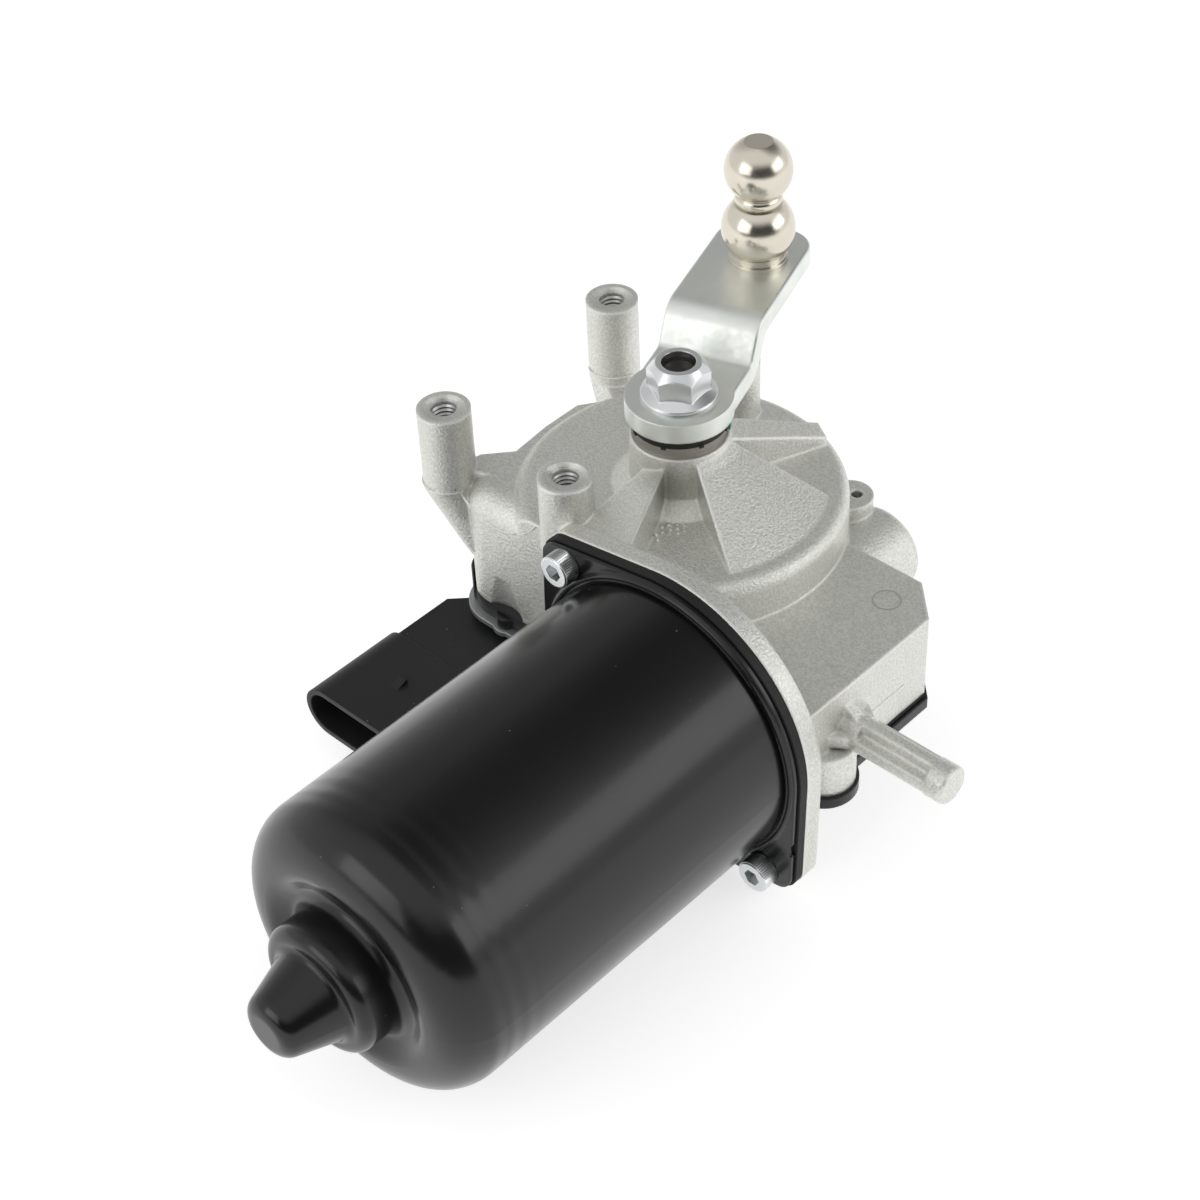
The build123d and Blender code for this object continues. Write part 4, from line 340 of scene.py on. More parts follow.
def new_material(name, colour, roughness, metallic=0.0, coat=0.0):
    """A material with one Principled shader, its tree and the shader."""
    material = bpy.data.materials.new(name)
    material.use_nodes = True
    material.diffuse_color = (*colour, 1.0)
    tree = Tree(material.node_tree)
    shader = material.node_tree.nodes["Principled BSDF"]
    tree.feed(shader.inputs["Base Color"], colour)
    tree.feed(shader.inputs["Roughness"], roughness)
    tree.feed(shader.inputs["Metallic"], metallic)
    tree.feed(shader.inputs["Coat Weight"], coat)
    return material, tree, shader


FINE_BUMP = 0.1 * MM


def bump(tree, shader, height, strength, edge=0.0):
    """Feeds the shader's Normal with a fine height, over edges rounded by edge."""
    node = tree.add("ShaderNodeBump")
    tree.feed(node.inputs["Strength"], strength)
    tree.feed(node.inputs["Distance"], FINE_BUMP)
    tree.feed(node.inputs["Height"], height)
    if edge:
        tree.feed(node.inputs["Normal"], tree.rounded(edge))
    tree.feed(shader.inputs["Normal"], node.outputs[0])


def over_bump(tree, shader, height):
    """Adds a height in metres over the bumps that the shader has."""
    under = shader.inputs["Normal"].links[0].from_socket
    node = tree.add("ShaderNodeBump")
    tree.feed(node.inputs["Strength"], 1.0)
    tree.feed(node.inputs["Distance"], 1.0)
    tree.feed(node.inputs["Height"], height)
    tree.feed(node.inputs["Normal"], under)
    tree.feed(shader.inputs["Normal"], node.outputs[0])


def varied(tree, value, roughness, less, more):
    """Roughness that value moves from roughness - less to roughness + more."""
    return tree.span(value, 0.0, 1.0, roughness - less, roughness + more)


def shade(colour, share):
    """A darker shade of a colour."""
    return tuple(share * c for c in colour)


CAST_METALLIC = 0.85
CAST_HOLLOW = 0.86
CAST_CLOUD = 0.8
# Gain of the painted highlight on the edges
EDGE_HIGHLIGHT_GAIN = 8.0
CONE_RADIUS = 5.6 * MM
CONE_FLOOR = -0.5 * MM
# Painted shade on the spigot under the crank arm
NECK_SHADE_RADIUS = 12.0 * MM
NECK_SHADE_FADE = 0.3 * MM
NECK_SHADE_FLOOR = -0.3 * MM
# Painted shade in the pocket between the front ribs
POCKET_MIDDLE = (6.8 * MM, -12.0 * MM, -7.5 * MM)
POCKET_CORE = 2.7 * MM
POCKET_REACH = 9.0 * MM

# How much each layer of the casting's finish shows: grain and clouds are its tone, the edge layer is painted
# highlight, and neck, pocket and cone are painted shade
LAYER_SHARE = {"grain": 0.6, "clouds": 0.2, "edge_highlight_mask": 0.75, "neck": 0.85, "pocket": 0.6, "cone": 0.35}


def lead_in_cones(tree):
    """Height in metres of the lead-in cones at the mouths of the tapped bosses, and their mask, which takes
    in the holes and gets painted shade.
    """
    x, y, z = tree.split(tree.place())
    away = []
    for along, middle, half in zip((x, y), BOSS_MIDDLE, BOSS_HALF):
        side = tree.math("ABSOLUTE", tree.math("SUBTRACT", along, middle))
        away.append(tree.math("POWER", tree.math("ABSOLUTE", tree.math("SUBTRACT", side, half)), 2.0))
    radius = tree.math("SQRT", tree.math("ADD", *away))
    cone = tree.span(radius, TAP_RADIUS, CONE_RADIUS, 0.0, CONE_RADIUS - TAP_RADIUS)
    inside = tree.math("LESS_THAN", radius, CONE_RADIUS)
    top = tree.math("GREATER_THAN", z, CONE_FLOOR)
    return tree.math("MULTIPLY", cone, top), tree.math("MULTIPLY", inside, top)


def pocket_painted_shade(tree):
    """Mask of painted shade in the deep pocket between the front ribs."""
    away = tree.measure("DISTANCE", tree.place(), POCKET_MIDDLE)
    return tree.span(away, POCKET_CORE, POCKET_REACH, 1.0, 0.0)


def neck_painted_shade(tree):
    """Mask of painted shade on the spigot under the crank arm."""
    x, y, z = tree.split(tree.place())
    flat = tree.fed("ShaderNodeCombineXYZ", (x, y))
    radius = tree.measure("LENGTH", flat.outputs[0])
    near = tree.span(radius, NECK_SHADE_RADIUS, NECK_SHADE_RADIUS + NECK_SHADE_FADE, 1.0, 0.0)
    return tree.math("MULTIPLY", near, tree.math("GREATER_THAN", z, NECK_SHADE_FLOOR))


def cast_metal(name, s, edge, housing=False):
    """Blasted aluminium with painted highlight on its edges. The housing also has painted shade at the neck
    and in the pocket, and lead-in cones with painted shade in them.
    """
    material, tree, shader = new_material(name, s.colour, s.roughness, metallic=CAST_METALLIC)
    fine = use(tree, "grain", Scale=1600.0, Low=0.38, High=0.62)
    clouds = use(tree, "grain", Scale=55.0, Low=0.35, High=0.65)
    edge_highlight_mask = use(tree, "edge_wear", Radius=edge, Gain=EDGE_HIGHLIGHT_GAIN)
    hollow = shade(s.colour, CAST_HOLLOW)
    skin = tree.cover(fine, LAYER_SHARE["grain"], hollow, s.bright)
    skin = tree.cover(clouds, LAYER_SHARE["clouds"], skin, shade(s.colour, CAST_CLOUD))
    # Painted highlight on the edges
    skin = tree.cover(edge_highlight_mask, LAYER_SHARE["edge_highlight_mask"], skin, s.bright)
    tree.feed(shader.inputs["Roughness"], varied(tree, clouds, s.roughness, less=0.05, more=0.05))
    bump(tree, shader, fine, strength=s.grain, edge=edge)
    if housing:
        # Painted shade on the spigot under the arm and in the pocket
        skin = tree.cover(neck_painted_shade(tree), LAYER_SHARE["neck"], skin, s.painted_shade)
        skin = tree.cover(pocket_painted_shade(tree), LAYER_SHARE["pocket"], skin, s.painted_shade)
        height, inside = lead_in_cones(tree)
        # Painted shade inside the lead-in cones and the holes
        skin = tree.cover(inside, LAYER_SHARE["cone"], skin, hollow)
        over_bump(tree, shader, height)
    tree.feed(shader.inputs["Base Color"], skin)
    return material


COAT = 0.12
COAT_ROUGHNESS = 0.12
DUST_SCALE = 900.0
DUST_ROUGHNESS = 0.7
RIPPLE_START = -137.5 * MM
RIPPLE_PITCH = 5.2 * MM
RIPPLE_REACH = 13.0 * MM
RIPPLE_HEIGHT = 0.07 * MM


def ripple(tree):
    """Height in metres of the faint rings that drawing left round the can."""
    along = tree.math("SUBTRACT", tree.split(tree.place())[1], RIPPLE_START)
    wave = tree.math("SINE", tree.math("MULTIPLY", along, 2 * pi / RIPPLE_PITCH))
    fade = tree.span(tree.math("ABSOLUTE", along), 0.0, RIPPLE_REACH, RIPPLE_HEIGHT, 0.0)
    return tree.math("MULTIPLY", wave, fade)


def black_paint(name, s, edge):
    """Glossy paint with a few specks of dust and faint rings."""
    material, tree, shader = new_material(name, s.colour, s.roughness, coat=COAT)
    tree.feed(shader.inputs["Coat Roughness"], COAT_ROUGHNESS)
    tree.feed(shader.inputs["Specular IOR Level"], s.gloss)
    peel = use(tree, "grain", Scale=420.0, Low=0.3, High=0.7)
    haze = use(tree, "grain", Scale=24.0, Low=0.35, High=0.7)
    speck = use(tree, "specks", Scale=DUST_SCALE, Share=s.dust, Size=0.2)
    tree.feed(shader.inputs["Base Color"], tree.mix(speck, s.colour, PAINT_DUST))
    smooth = varied(tree, haze, s.roughness, less=0.03, more=0.05)
    dusty = tree.math("MULTIPLY", speck, DUST_ROUGHNESS)
    tree.feed(shader.inputs["Roughness"], tree.math("MAXIMUM", smooth, dusty))
    bump(tree, shader, peel, strength=0.06, edge=edge)
    over_bump(tree, shader, ripple(tree))
    return material


PLASTIC_SHINE = 0.38


def plastic(name, colour, roughness, edge=0.5 * MM, dust=0.0):
    """Moulded plastic or rubber, with specks of dust on a share of it."""
    material, tree, shader = new_material(name, colour, roughness)
    tree.feed(shader.inputs["Specular IOR Level"], PLASTIC_SHINE)
    skin = use(tree, "grain", Scale=1500.0, Low=0.35, High=0.65)
    if dust:
        speck = use(tree, "specks", Scale=DUST_SCALE, Share=dust, Size=0.22)
        tree.feed(shader.inputs["Base Color"], tree.mix(speck, colour, PLASTIC_DUST))
    tree.feed(shader.inputs["Roughness"], varied(tree, skin, roughness, less=0.04, more=0.06))
    bump(tree, shader, skin, strength=0.12, edge=edge)
    return material


BLOTCH_SHADE = 0.72


def bright_metal(name, colour, roughness, edge=0.0, blotch=0.1, streak=0.0):
    """Plated or polished metal, with dull blotches and the streaks of rolled plate."""
    material, tree, shader = new_material(name, colour, roughness, metallic=1.0)
    clouds = use(tree, "grain", Scale=90.0, Low=0.35, High=0.65)
    fine = use(tree, "grain", Scale=1800.0, Low=0.35, High=0.65)
    blotched = tree.cover(clouds, blotch, colour, shade(colour, BLOTCH_SHADE))
    tree.feed(shader.inputs["Base Color"], blotched)
    rough = varied(tree, clouds, roughness, less=0.15 * roughness, more=0.25 * roughness)
    if streak:
        lines = use(tree, "streaks", Scale=700.0, Stretch=14.0)
        rough = tree.math("ADD", rough, tree.math("MULTIPLY", lines, streak))
    tree.feed(shader.inputs["Roughness"], rough)
    bump(tree, shader, fine, strength=0.05, edge=edge)
    return material


def plain(name, colour, roughness, metallic=0.0):
    """An even finish for small and hidden pieces."""
    material, tree, shader = new_material(name, colour, roughness, metallic)
    fine = use(tree, "grain", Scale=900.0, Low=0.35, High=0.65)
    tree.feed(shader.inputs["Roughness"], varied(tree, fine, roughness, less=0.05, more=0.08))
    return material


def paint_slots(materials):
    """Gives each CAD node whose record slot is a key of materials that material."""
    done = 0
    for node, slot in NODE_SLOT.items():
        if slot in materials:
            target = frame["nodes"][node]
            if not target.material_slots:
                target.data.materials.append(materials[slot])
            for place in target.material_slots:
                place.material = materials[slot]
            done += 1
    if not done:
        raise RuntimeError("no node has one of the slots " + ", ".join(materials))


MERGE_DISTANCE = 1e-7


def finish_piece(name, mesh, material, body="motor_unit", smooth=True):
    """Makes a finished bmesh a piece of the object that rides on body."""
    bmesh.ops.remove_doubles(mesh, verts=mesh.verts, dist=MERGE_DISTANCE)
    bmesh.ops.recalc_face_normals(mesh, faces=mesh.faces)
    data = bpy.data.meshes.new(name)
    mesh.to_mesh(data)
    mesh.free()
    for face in data.polygons:
        face.use_smooth = smooth
    piece = bpy.data.objects.new(name, data)
    bpy.context.scene.collection.objects.link(piece)
    data.materials.append(material)
    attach(piece, body)
    return piece


def edges_of(verts):
    """Each edge that touches one of these vertices, once."""
    return list({edge for vert in verts for edge in vert.link_edges})


def verts_in(geometry):
    return [item for item in geometry if isinstance(item, bmesh.types.BMVert)]


class WM_OT_casting(bpy.types.Operator):
    """Blasted aluminium for the gear housing"""

    bl_idname = "wiper.casting"
    bl_label = "Casting finish"
    bl_options = {"REGISTER", "UNDO"}

    def execute(self, context):
        housing = cast_metal("cast_housing", context.scene.wm_casting, edge=1.3 * MM, housing=True)
        paint_slots({"cast_housing": housing})
        return {"FINISHED"}


class WM_OT_can(bpy.types.Operator):
    """Black paint for the can, matt black for the plate behind it"""

    bl_idname = "wiper.can"
    bl_label = "Can finish"
    bl_options = {"REGISTER", "UNDO"}

    def execute(self, context):
        paint_slots({
            "black_can": black_paint("black_can", context.scene.wm_can, edge=0.8 * MM),
            "matt_plate": plastic("matt_plate", MATT_BLACK, roughness=0.6),
        })
        return {"FINISHED"}


class WM_OT_bright(bpy.types.Operator):
    """Plated and polished metal for the arm, stud, nut and screws"""

    bl_idname = "wiper.bright"
    bl_label = "Bright finishes"
    bl_options = {"REGISTER", "UNDO"}

    def execute(self, context):
        s = context.scene.wm_bright
        arm = bright_metal("zinc_arm", s.arm, s.arm_roughness, edge=0.6 * MM, blotch=0.18, streak=0.08)
        stud = bright_metal("nickel_stud", s.stud, s.stud_roughness, edge=0.3 * MM, blotch=0.15)
        paint_slots({
            "zinc_arm": arm,
            "nickel_stud": stud,
            "zinc_nut": bright_metal("zinc_nut", s.zinc, s.zinc_roughness, edge=0.5 * MM),
            "zinc_screws": bright_metal("zinc_screws", s.zinc, s.zinc_roughness, edge=0.3 * MM),
            "dark_shaft": plain("dark_shaft", SHAFT_BROWN, roughness=0.5, metallic=0.7),
        })
        return {"FINISHED"}


class WM_OT_plastics(bpy.types.Operator):
    """Black plastics, rubber and the plate under the cover"""

    bl_idname = "wiper.plastics"
    bl_label = "Cover and plug finishes"
    bl_options = {"REGISTER", "UNDO"}

    def execute(self, context):
        s = context.scene.wm_plastic
        paint_slots({
            "black_cover": plastic("black_cover", s.colour, roughness=0.3, edge=1.0 * MM),
            "black_plug": plastic("black_plug", s.colour, s.roughness, edge=0.6 * MM, dust=0.03),
            "black_ring": plastic("black_ring", s.colour, roughness=0.4),
            "black_rubber": plastic("black_rubber", RUBBER_BLACK, roughness=0.65),
            "grey_shield": bright_metal("grey_shield", s.shield, roughness=0.45, edge=0.4 * MM),
        })
        return {"FINISHED"}


# Colour, roughness and metallic share of the inner pieces that have no setting of their own
INNER_FINISHES = {
    "copper_bars": ((0.72, 0.4, 0.24), 0.3, 1.0),
    "carbon": ((0.03, 0.03, 0.03), 0.55, 0.0),
    "brass_parts": ((0.72, 0.56, 0.27), 0.3, 1.0),
    "spring_steel": ((0.5, 0.5, 0.52), 0.3, 1.0),
    "sintered_bronze": ((0.5, 0.36, 0.2), 0.5, 0.9),
    "bearing_steel": ((0.62, 0.62, 0.64), 0.22, 1.0),
    "tinned_terminals": ((0.76, 0.76, 0.74), 0.25, 1.0),
    "laminations": ((0.3, 0.3, 0.32), 0.4, 0.9),
}


class WM_OT_inner(bpy.types.Operator):
    """Finishes of the pieces inside the housing and the can"""

    bl_idname = "wiper.inner"
    bl_label = "Inner finishes"
    bl_options = {"REGISTER", "UNDO"}

    def execute(self, context):
        s = context.scene.wm_inner
        paint_slots({
            "wheel_nylon": plastic("wheel_nylon", s.nylon, roughness=0.45),
            "copper_wire": plain("copper_wire", s.copper, roughness=0.32, metallic=0.9),
            "ferrite": plain("ferrite", s.ferrite, roughness=0.6),
            **{name: plain(name, *finish) for name, finish in INNER_FINISHES.items()},
        })
        return {"FINISHED"}


THREAD_TURNS = 10
THREAD_STEPS = 32
THREAD_START = -1.0 * MM
THREAD_SINK = 0.03 * MM
THREAD_MERGE = 1e-6
CREST_START = 0.42
CREST_END = 0.58


class WM_OT_threads(bpy.types.Operator):
    """Threads in the four tapped bosses"""

    bl_idname = "wiper.threads"
    bl_label = "Tapped threads"
    bl_options = {"REGISTER", "UNDO"}

    def execute(self, context):
        s = context.scene.wm_detail
        section = [
            (-THREAD_SINK, 0.0),
            (s.thread_depth, CREST_START),
            (s.thread_depth, CREST_END),
            (-THREAD_SINK, 1.0),
        ]
        mesh = bmesh.new()
        for axis in BOSS_AXES:
            verts = []
            for depth, share in section:
                away = Vector((TAP_RADIUS - depth, 0.0, THREAD_START - share * s.thread_pitch))
                verts.append(mesh.verts.new(axis + away))
            edges = [mesh.edges.new(pair) for pair in zip(verts, verts[1:])]
            bmesh.ops.spin(
                mesh, geom=verts + edges, cent=axis, axis=(0, 0, 1), angle=2 * pi * THREAD_TURNS,
                steps=THREAD_STEPS * THREAD_TURNS, dvec=(0, 0, -s.thread_pitch / THREAD_STEPS),
            )
        bmesh.ops.remove_doubles(mesh, verts=mesh.verts, dist=THREAD_MERGE)
        material = bright_metal("thread_metal", THREAD_GREY, roughness=0.35, edge=0.2 * MM)
        finish_piece("boss_threads", mesh, material, smooth=False)
        return {"FINISHED"}


SCREW_REACH = 31.325 * MM
CAP_HEAD_FRONT = -49.35 * MM
CAP_HEAD_BACK = -45.1 * MM
CAP_HEAD_RADIUS = 4.25 * MM
KNURL_HEIGHT = 0.16 * MM
KNURL_RIM = 0.45 * MM
KNURL_RIM_RISE = 0.14 * MM


def push_out(verts, centre, distance):
    """Moves vertices away from the axis along Y through centre."""
    for vert in verts:
        way = vert.co - centre
        way.y = 0.0
        vert.co += way.normalized() * distance


class WM_OT_knurls(bpy.types.Operator):
    """Knurled sleeves round the heads of the cap screws"""

    bl_idname = "wiper.knurls"
    bl_label = "Knurled screw heads"
    bl_options = {"REGISTER", "UNDO"}

    def execute(self, context):
        count = context.scene.wm_detail.knurls
        mesh = bmesh.new()
        for side in (-1, 1):
            centre = Vector((MOTOR_X + side * SCREW_REACH, 0.0, MOTOR_Z - side * SCREW_REACH))
            front = Matrix.Translation(centre + Vector((0, CAP_HEAD_FRONT, 0)))
            ring = bmesh.ops.create_circle(
                mesh, segments=2 * count, radius=CAP_HEAD_RADIUS,
                matrix=front @ Matrix.Rotation(pi / 2, 4, "X"),
            )["verts"]
            push_out(ring[::2], centre, KNURL_HEIGHT)
            edges = edges_of(ring)
            wall = verts_in(bmesh.ops.extrude_edge_only(mesh, edges=edges)["geom"])
            bmesh.ops.translate(mesh, verts=wall, vec=(0, CAP_HEAD_BACK - CAP_HEAD_FRONT, 0))
            rim = verts_in(bmesh.ops.extrude_edge_only(mesh, edges=edges)["geom"])
            push_out(rim, centre, -KNURL_RIM)
            bmesh.ops.translate(mesh, verts=rim, vec=(0, -KNURL_RIM_RISE, 0))
        material = bright_metal("knurl_zinc", context.scene.wm_bright.zinc, roughness=0.28)
        finish_piece("screw_knurls", mesh, material, smooth=False)
        return {"FINISHED"}


LINE_SIDES = 8
LINE_RADIUS = 0.4 * MM
LINE_STEPS = 24
POST_RADIUS = 7.0 * MM

# Parting lines round the fronts of the two left posts: post, height in mm, start and end in degrees
POST_LINES = [
    (BOSS_AXES[0], -21.2, -125.0, -5.0),
    (BOSS_AXES[1], -22.4, -150.0, -15.0),
]

# Parting line over the housing's lobe between the left post and the can, in mm
LOBE_LINE = [
    (-45.7, -35.6, -21.3), (-44.9, -34.2, -23.1), (-41.6, -34.8, -24.9), (-36.8, -35.85, -25.8),
    (-32.6, -35.85, -26.2), (-27.8, -35.85, -25.4), (-23.6, -35.8, -23.7), (-20.8, -35.85, -21.9),
    (-18.6, -35.85, -20.0), (-16.3, -35.85, -17.2),
]

# Parting line along the right wall of the worm block, in mm
BLOCK_LINE = [(70.7, y, -44.7) for y in (-38.0, -18.0, 2.0)]
BLOCK_LINE_RADIUS = 0.2 * MM

# Blisters on the floor of the pocket between the front ribs: x, y and radius in mm
BLISTERS = [
    (10.0, -15.7, 0.9), (11.2, -16.6, 0.65), (9.1, -17.2, 0.7), (10.4, -18.6, 0.6), (8.6, -14.9, 0.5),
    (12.1, -18.0, 0.5), (9.7, -20.3, 0.65), (11.4, -21.5, 0.5), (12.4, -15.2, 0.75), (13.6, -16.3, 0.55),
    (11.3, -14.2, 0.6), (14.2, -14.6, 0.5), (13.0, -13.2, 0.65), (10.9, -12.9, 0.45),
]
BLISTER_Z = -15.75

EJECTOR_MIDDLE = Vector((58.6 * MM, 9.7 * MM, -29.1 * MM))
EJECTOR_RADIUS = 3.5 * MM
EJECTOR_WIRE = 0.2 * MM
EJECTOR_SINK = 0.06 * MM
EJECTOR_STEPS = 48


def wire_ring(mesh, radius, place):
    """Vertices and edges of a small circle, the section of a thin raised line."""
    ring = bmesh.ops.create_circle(mesh, segments=LINE_SIDES, radius=radius, matrix=place)["verts"]
    return ring, edges_of(ring)


def line_along(mesh, points, radius):
    """A thin raised line through points in millimetres."""
    points = [Vector(point) * MM for point in points]
    way = (points[1] - points[0]).to_track_quat("Z", "Y").to_matrix().to_4x4()
    _, edges = wire_ring(mesh, radius, Matrix.Translation(points[0]) @ way)
    for first, second in zip(points, points[1:]):
        moved = bmesh.ops.extrude_edge_only(mesh, edges=edges)["geom"]
        verts = verts_in(moved)
        edges = [edge for edge in edges_of(verts) if all(vert in verts for vert in edge.verts)]
        bmesh.ops.translate(mesh, verts=verts, vec=second - first)


def line_round(mesh, axis, z, start, end):
    """A thin raised line round a post, at a height in millimetres and between two angles in degrees."""
    centre = axis + Vector((0.0, 0.0, z * MM))
    first = Vector((cos(radians(start)), sin(radians(start)), 0.0))
    turn = Matrix.Rotation(radians(start), 4, "Z") @ Matrix.Rotation(pi / 2, 4, "X")
    verts, edges = wire_ring(mesh, LINE_RADIUS, Matrix.Translation(centre + first * POST_RADIUS) @ turn)
    bmesh.ops.spin(
        mesh, geom=verts + edges, cent=centre, axis=(0, 0, 1), angle=radians(end - start),
        steps=LINE_STEPS,
    )


class WM_OT_cast_marks(bpy.types.Operator):
    """Parting lines and blisters of the casting"""

    bl_idname = "wiper.cast_marks"
    bl_label = "Casting marks"
    bl_options = {"REGISTER", "UNDO"}

    def execute(self, context):
        mesh = bmesh.new()
        for line in POST_LINES:
            line_round(mesh, *line)
        line_along(mesh, LOBE_LINE, LINE_RADIUS)
        line_along(mesh, BLOCK_LINE, BLOCK_LINE_RADIUS)
        for x, y, radius in BLISTERS:
            place = Matrix.Translation(Vector((x, y, BLISTER_Z)) * MM)
            bmesh.ops.create_icosphere(mesh, subdivisions=2, radius=radius * MM, matrix=place)
        material = cast_metal("cast_marks", context.scene.wm_casting, edge=0.3 * MM)
        finish_piece("casting_marks", mesh, material)
        return {"FINISHED"}


class WM_OT_ejector_mark(bpy.types.Operator):
    """Round mark that the ejector left on the worm block"""

    bl_idname = "wiper.ejector_mark"
    bl_label = "Ejector mark"
    bl_options = {"REGISTER", "UNDO"}

    def execute(self, context):
        mesh = bmesh.new()
        start = Matrix.Translation(EJECTOR_MIDDLE + Vector((EJECTOR_RADIUS, 0, -EJECTOR_SINK)))
        verts, edges = wire_ring(mesh, EJECTOR_WIRE, start @ Matrix.Rotation(pi / 2, 4, "X"))
        bmesh.ops.spin(
            mesh, geom=verts + edges, cent=EJECTOR_MIDDLE, axis=(0, 0, 1), angle=2 * pi,
            steps=EJECTOR_STEPS, use_merge=True,
        )
        material = plain("ejector_line", LINE_GREY, roughness=0.6, metallic=0.5)
        finish_piece("ejector_mark", mesh, material)
        return {"FINISHED"}


LIP_INNER = 11.7 * MM
LIP_OUTER = 12.15 * MM
LIP_BOTTOM = 3.3 * MM
LIP_TOP = 5.0 * MM
LIP_STEPS = 96
LIP_TEETH = 8
TOOTH_SIZE = (0.5 * MM, 1.2 * MM, 0.9 * MM)


class WM_OT_ring_lip(bpy.types.Operator):
    """Rubber lip of the splash ring, with its small teeth"""

    bl_idname = "wiper.ring_lip"
    bl_label = "Splash ring lip"
    bl_options = {"REGISTER", "UNDO"}

    def execute(self, context):
        mesh = bmesh.new()
        middle = Matrix.Translation(((LIP_INNER + LIP_OUTER) / 2, 0, (LIP_BOTTOM + LIP_TOP) / 2))
        size = Matrix.Diagonal((LIP_OUTER - LIP_INNER, LIP_TOP - LIP_BOTTOM, 1, 1))
        section = bmesh.ops.create_grid(
            mesh, x_segments=1, y_segments=1, size=0.5,
            matrix=middle @ Matrix.Rotation(pi / 2, 4, "X") @ size,
        )["verts"]
        edges = edges_of(section)
        bmesh.ops.delete(mesh, geom=list(mesh.faces), context="FACES_ONLY")
        bmesh.ops.spin(
            mesh, geom=section + edges, cent=(0, 0, 0), axis=(0, 0, 1), angle=2 * pi, steps=LIP_STEPS,
            use_merge=True,
        )
        for number in range(LIP_TEETH):
            turn = Matrix.Rotation(2 * pi * (number + 0.5) / LIP_TEETH, 4, "Z")
            place = turn @ Matrix.Translation((LIP_OUTER, 0, LIP_BOTTOM)) @ Matrix.Diagonal((*TOOTH_SIZE, 1))
            bmesh.ops.create_cube(mesh, size=1.0, matrix=place)
        material = plastic("lip_rubber", LIP_BLACK, roughness=0.5, edge=0.2 * MM)
        finish_piece("ring_lip", mesh, material, smooth=False)
        return {"FINISHED"}


COLLAR_RADIUS = 6.0 * MM
COLLAR_FOOT_RADIUS = 6.18 * MM
COLLAR_BOTTOM = 37.2 * MM
COLLAR_TOP = 40.6 * MM


class WM_OT_stud_collar(bpy.types.Operator):
    """Turned collar between the two balls of the stud"""

    bl_idname = "wiper.stud_collar"
    bl_label = "Stud collar"
    bl_options = {"REGISTER", "UNDO"}

    def execute(self, context):
        s = context.scene.wm_bright
        mesh = bmesh.new()
        middle = Matrix.Translation((*STUD_AXIS, (COLLAR_BOTTOM + COLLAR_TOP) / 2))
        bmesh.ops.create_cone(
            mesh, segments=96, cap_ends=True, radius1=COLLAR_FOOT_RADIUS, radius2=COLLAR_RADIUS,
            depth=COLLAR_TOP - COLLAR_BOTTOM, matrix=middle,
        )
        material = bright_metal("collar_nickel", s.stud, s.stud_roughness, edge=0.3 * MM, blotch=0.15)
        finish_piece("stud_collar", mesh, material, body="output")
        return {"FINISHED"}


DAB_HALF = (0.45 * MM, 1.0 * MM, 1.7 * MM)
DAB_TURN = radians(38)
DAB_PLACE = (9.7 * MM, 7.6 * MM, 2.2 * MM)


class WM_OT_paint_dab(bpy.types.Operator):
    """Inspector's dab of paint on the neck"""

    bl_idname = "wiper.paint_dab"
    bl_label = "Paint dab"
    bl_options = {"REGISTER", "UNDO"}

    def execute(self, context):
        mesh = bmesh.new()
        turn = Matrix.Rotation(DAB_TURN, 4, "Z")
        place = Matrix.Translation(DAB_PLACE) @ turn @ Matrix.Diagonal((*DAB_HALF, 1))
        bmesh.ops.create_icosphere(mesh, subdivisions=3, radius=1.0, matrix=place)
        material, _, _ = new_material("paint_dab", context.scene.wm_detail.dab, roughness=0.35)
        finish_piece("paint_dab", mesh, material)
        return {"FINISHED"}


FLOOR_SIZE = 6.0
FLOOR_ROUGHNESS = 0.8

# The dark roof: its direction, and the cosines from its edge to its middle
ROOF_WAY = (0.05, 0.62, 0.78)
ROOF_EDGE = (0.8, 0.97)

# The dark gap before the can: its direction, its middle height, its edges up and down and aside
GAP_WAY = (0.70, -0.71, 0.0)
GAP_RISE = 0.24
GAP_HEIGHT = (0.24, 0.5)
GAP_WIDTH = (0.42, 0.72)
GAP_DEPTH = 0.94

# The dimmer part high behind the object
BACK_WAY = (-0.55, 0.50, 0.67)
BACK_EDGE = (0.65, 0.97)
BACK_LIGHT = 0.5

# Soft boxes: direction from the can, width and height
BOXES = {
    "right_box": ((0.77, 0.47, 0.42), 0.9, 0.5),
    "left_box": ((-0.15, -0.88, 0.45), 0.9, 0.7),
}
BOX_DISTANCE = 1.2
CAN_MIDDLE = Vector((MOTOR_X, -95.0 * MM, MOTOR_Z))

# The camera that the photograph was solved for, in metres and lens millimetres
CAMERA_AT = (0.32935, -0.36003, 0.37795)
CAMERA_RIGHT = (0.7300, 0.6824, -0.0385)
CAMERA_UP = (-0.4328, 0.5051, 0.7467)
CAMERA_BACK = (0.5290, -0.5284, 0.6641)
SENSOR_MM = 36.0
LENS_MM = 74.507
CLIP_START = 0.01


def make_floor(scene, s):
    """A plain pale floor that gives off a little light, so that its shadows stay weak."""
    mesh = bmesh.new()
    bmesh.ops.create_grid(mesh, x_segments=1, y_segments=1, size=FLOOR_SIZE / 2)
    bmesh.ops.translate(mesh, vec=(0, 0, FLOOR_Z), verts=mesh.verts)
    data = bpy.data.meshes.new("floor")
    mesh.to_mesh(data)
    mesh.free()
    floor = bpy.data.objects.new("floor", data)
    scene.collection.objects.link(floor)
    material, tree, shader = new_material("floor", s.floor, FLOOR_ROUGHNESS)
    tree.feed(shader.inputs["Emission Color"], WHITE)
    tree.feed(shader.inputs["Emission Strength"], s.glow)
    data.materials.append(material)


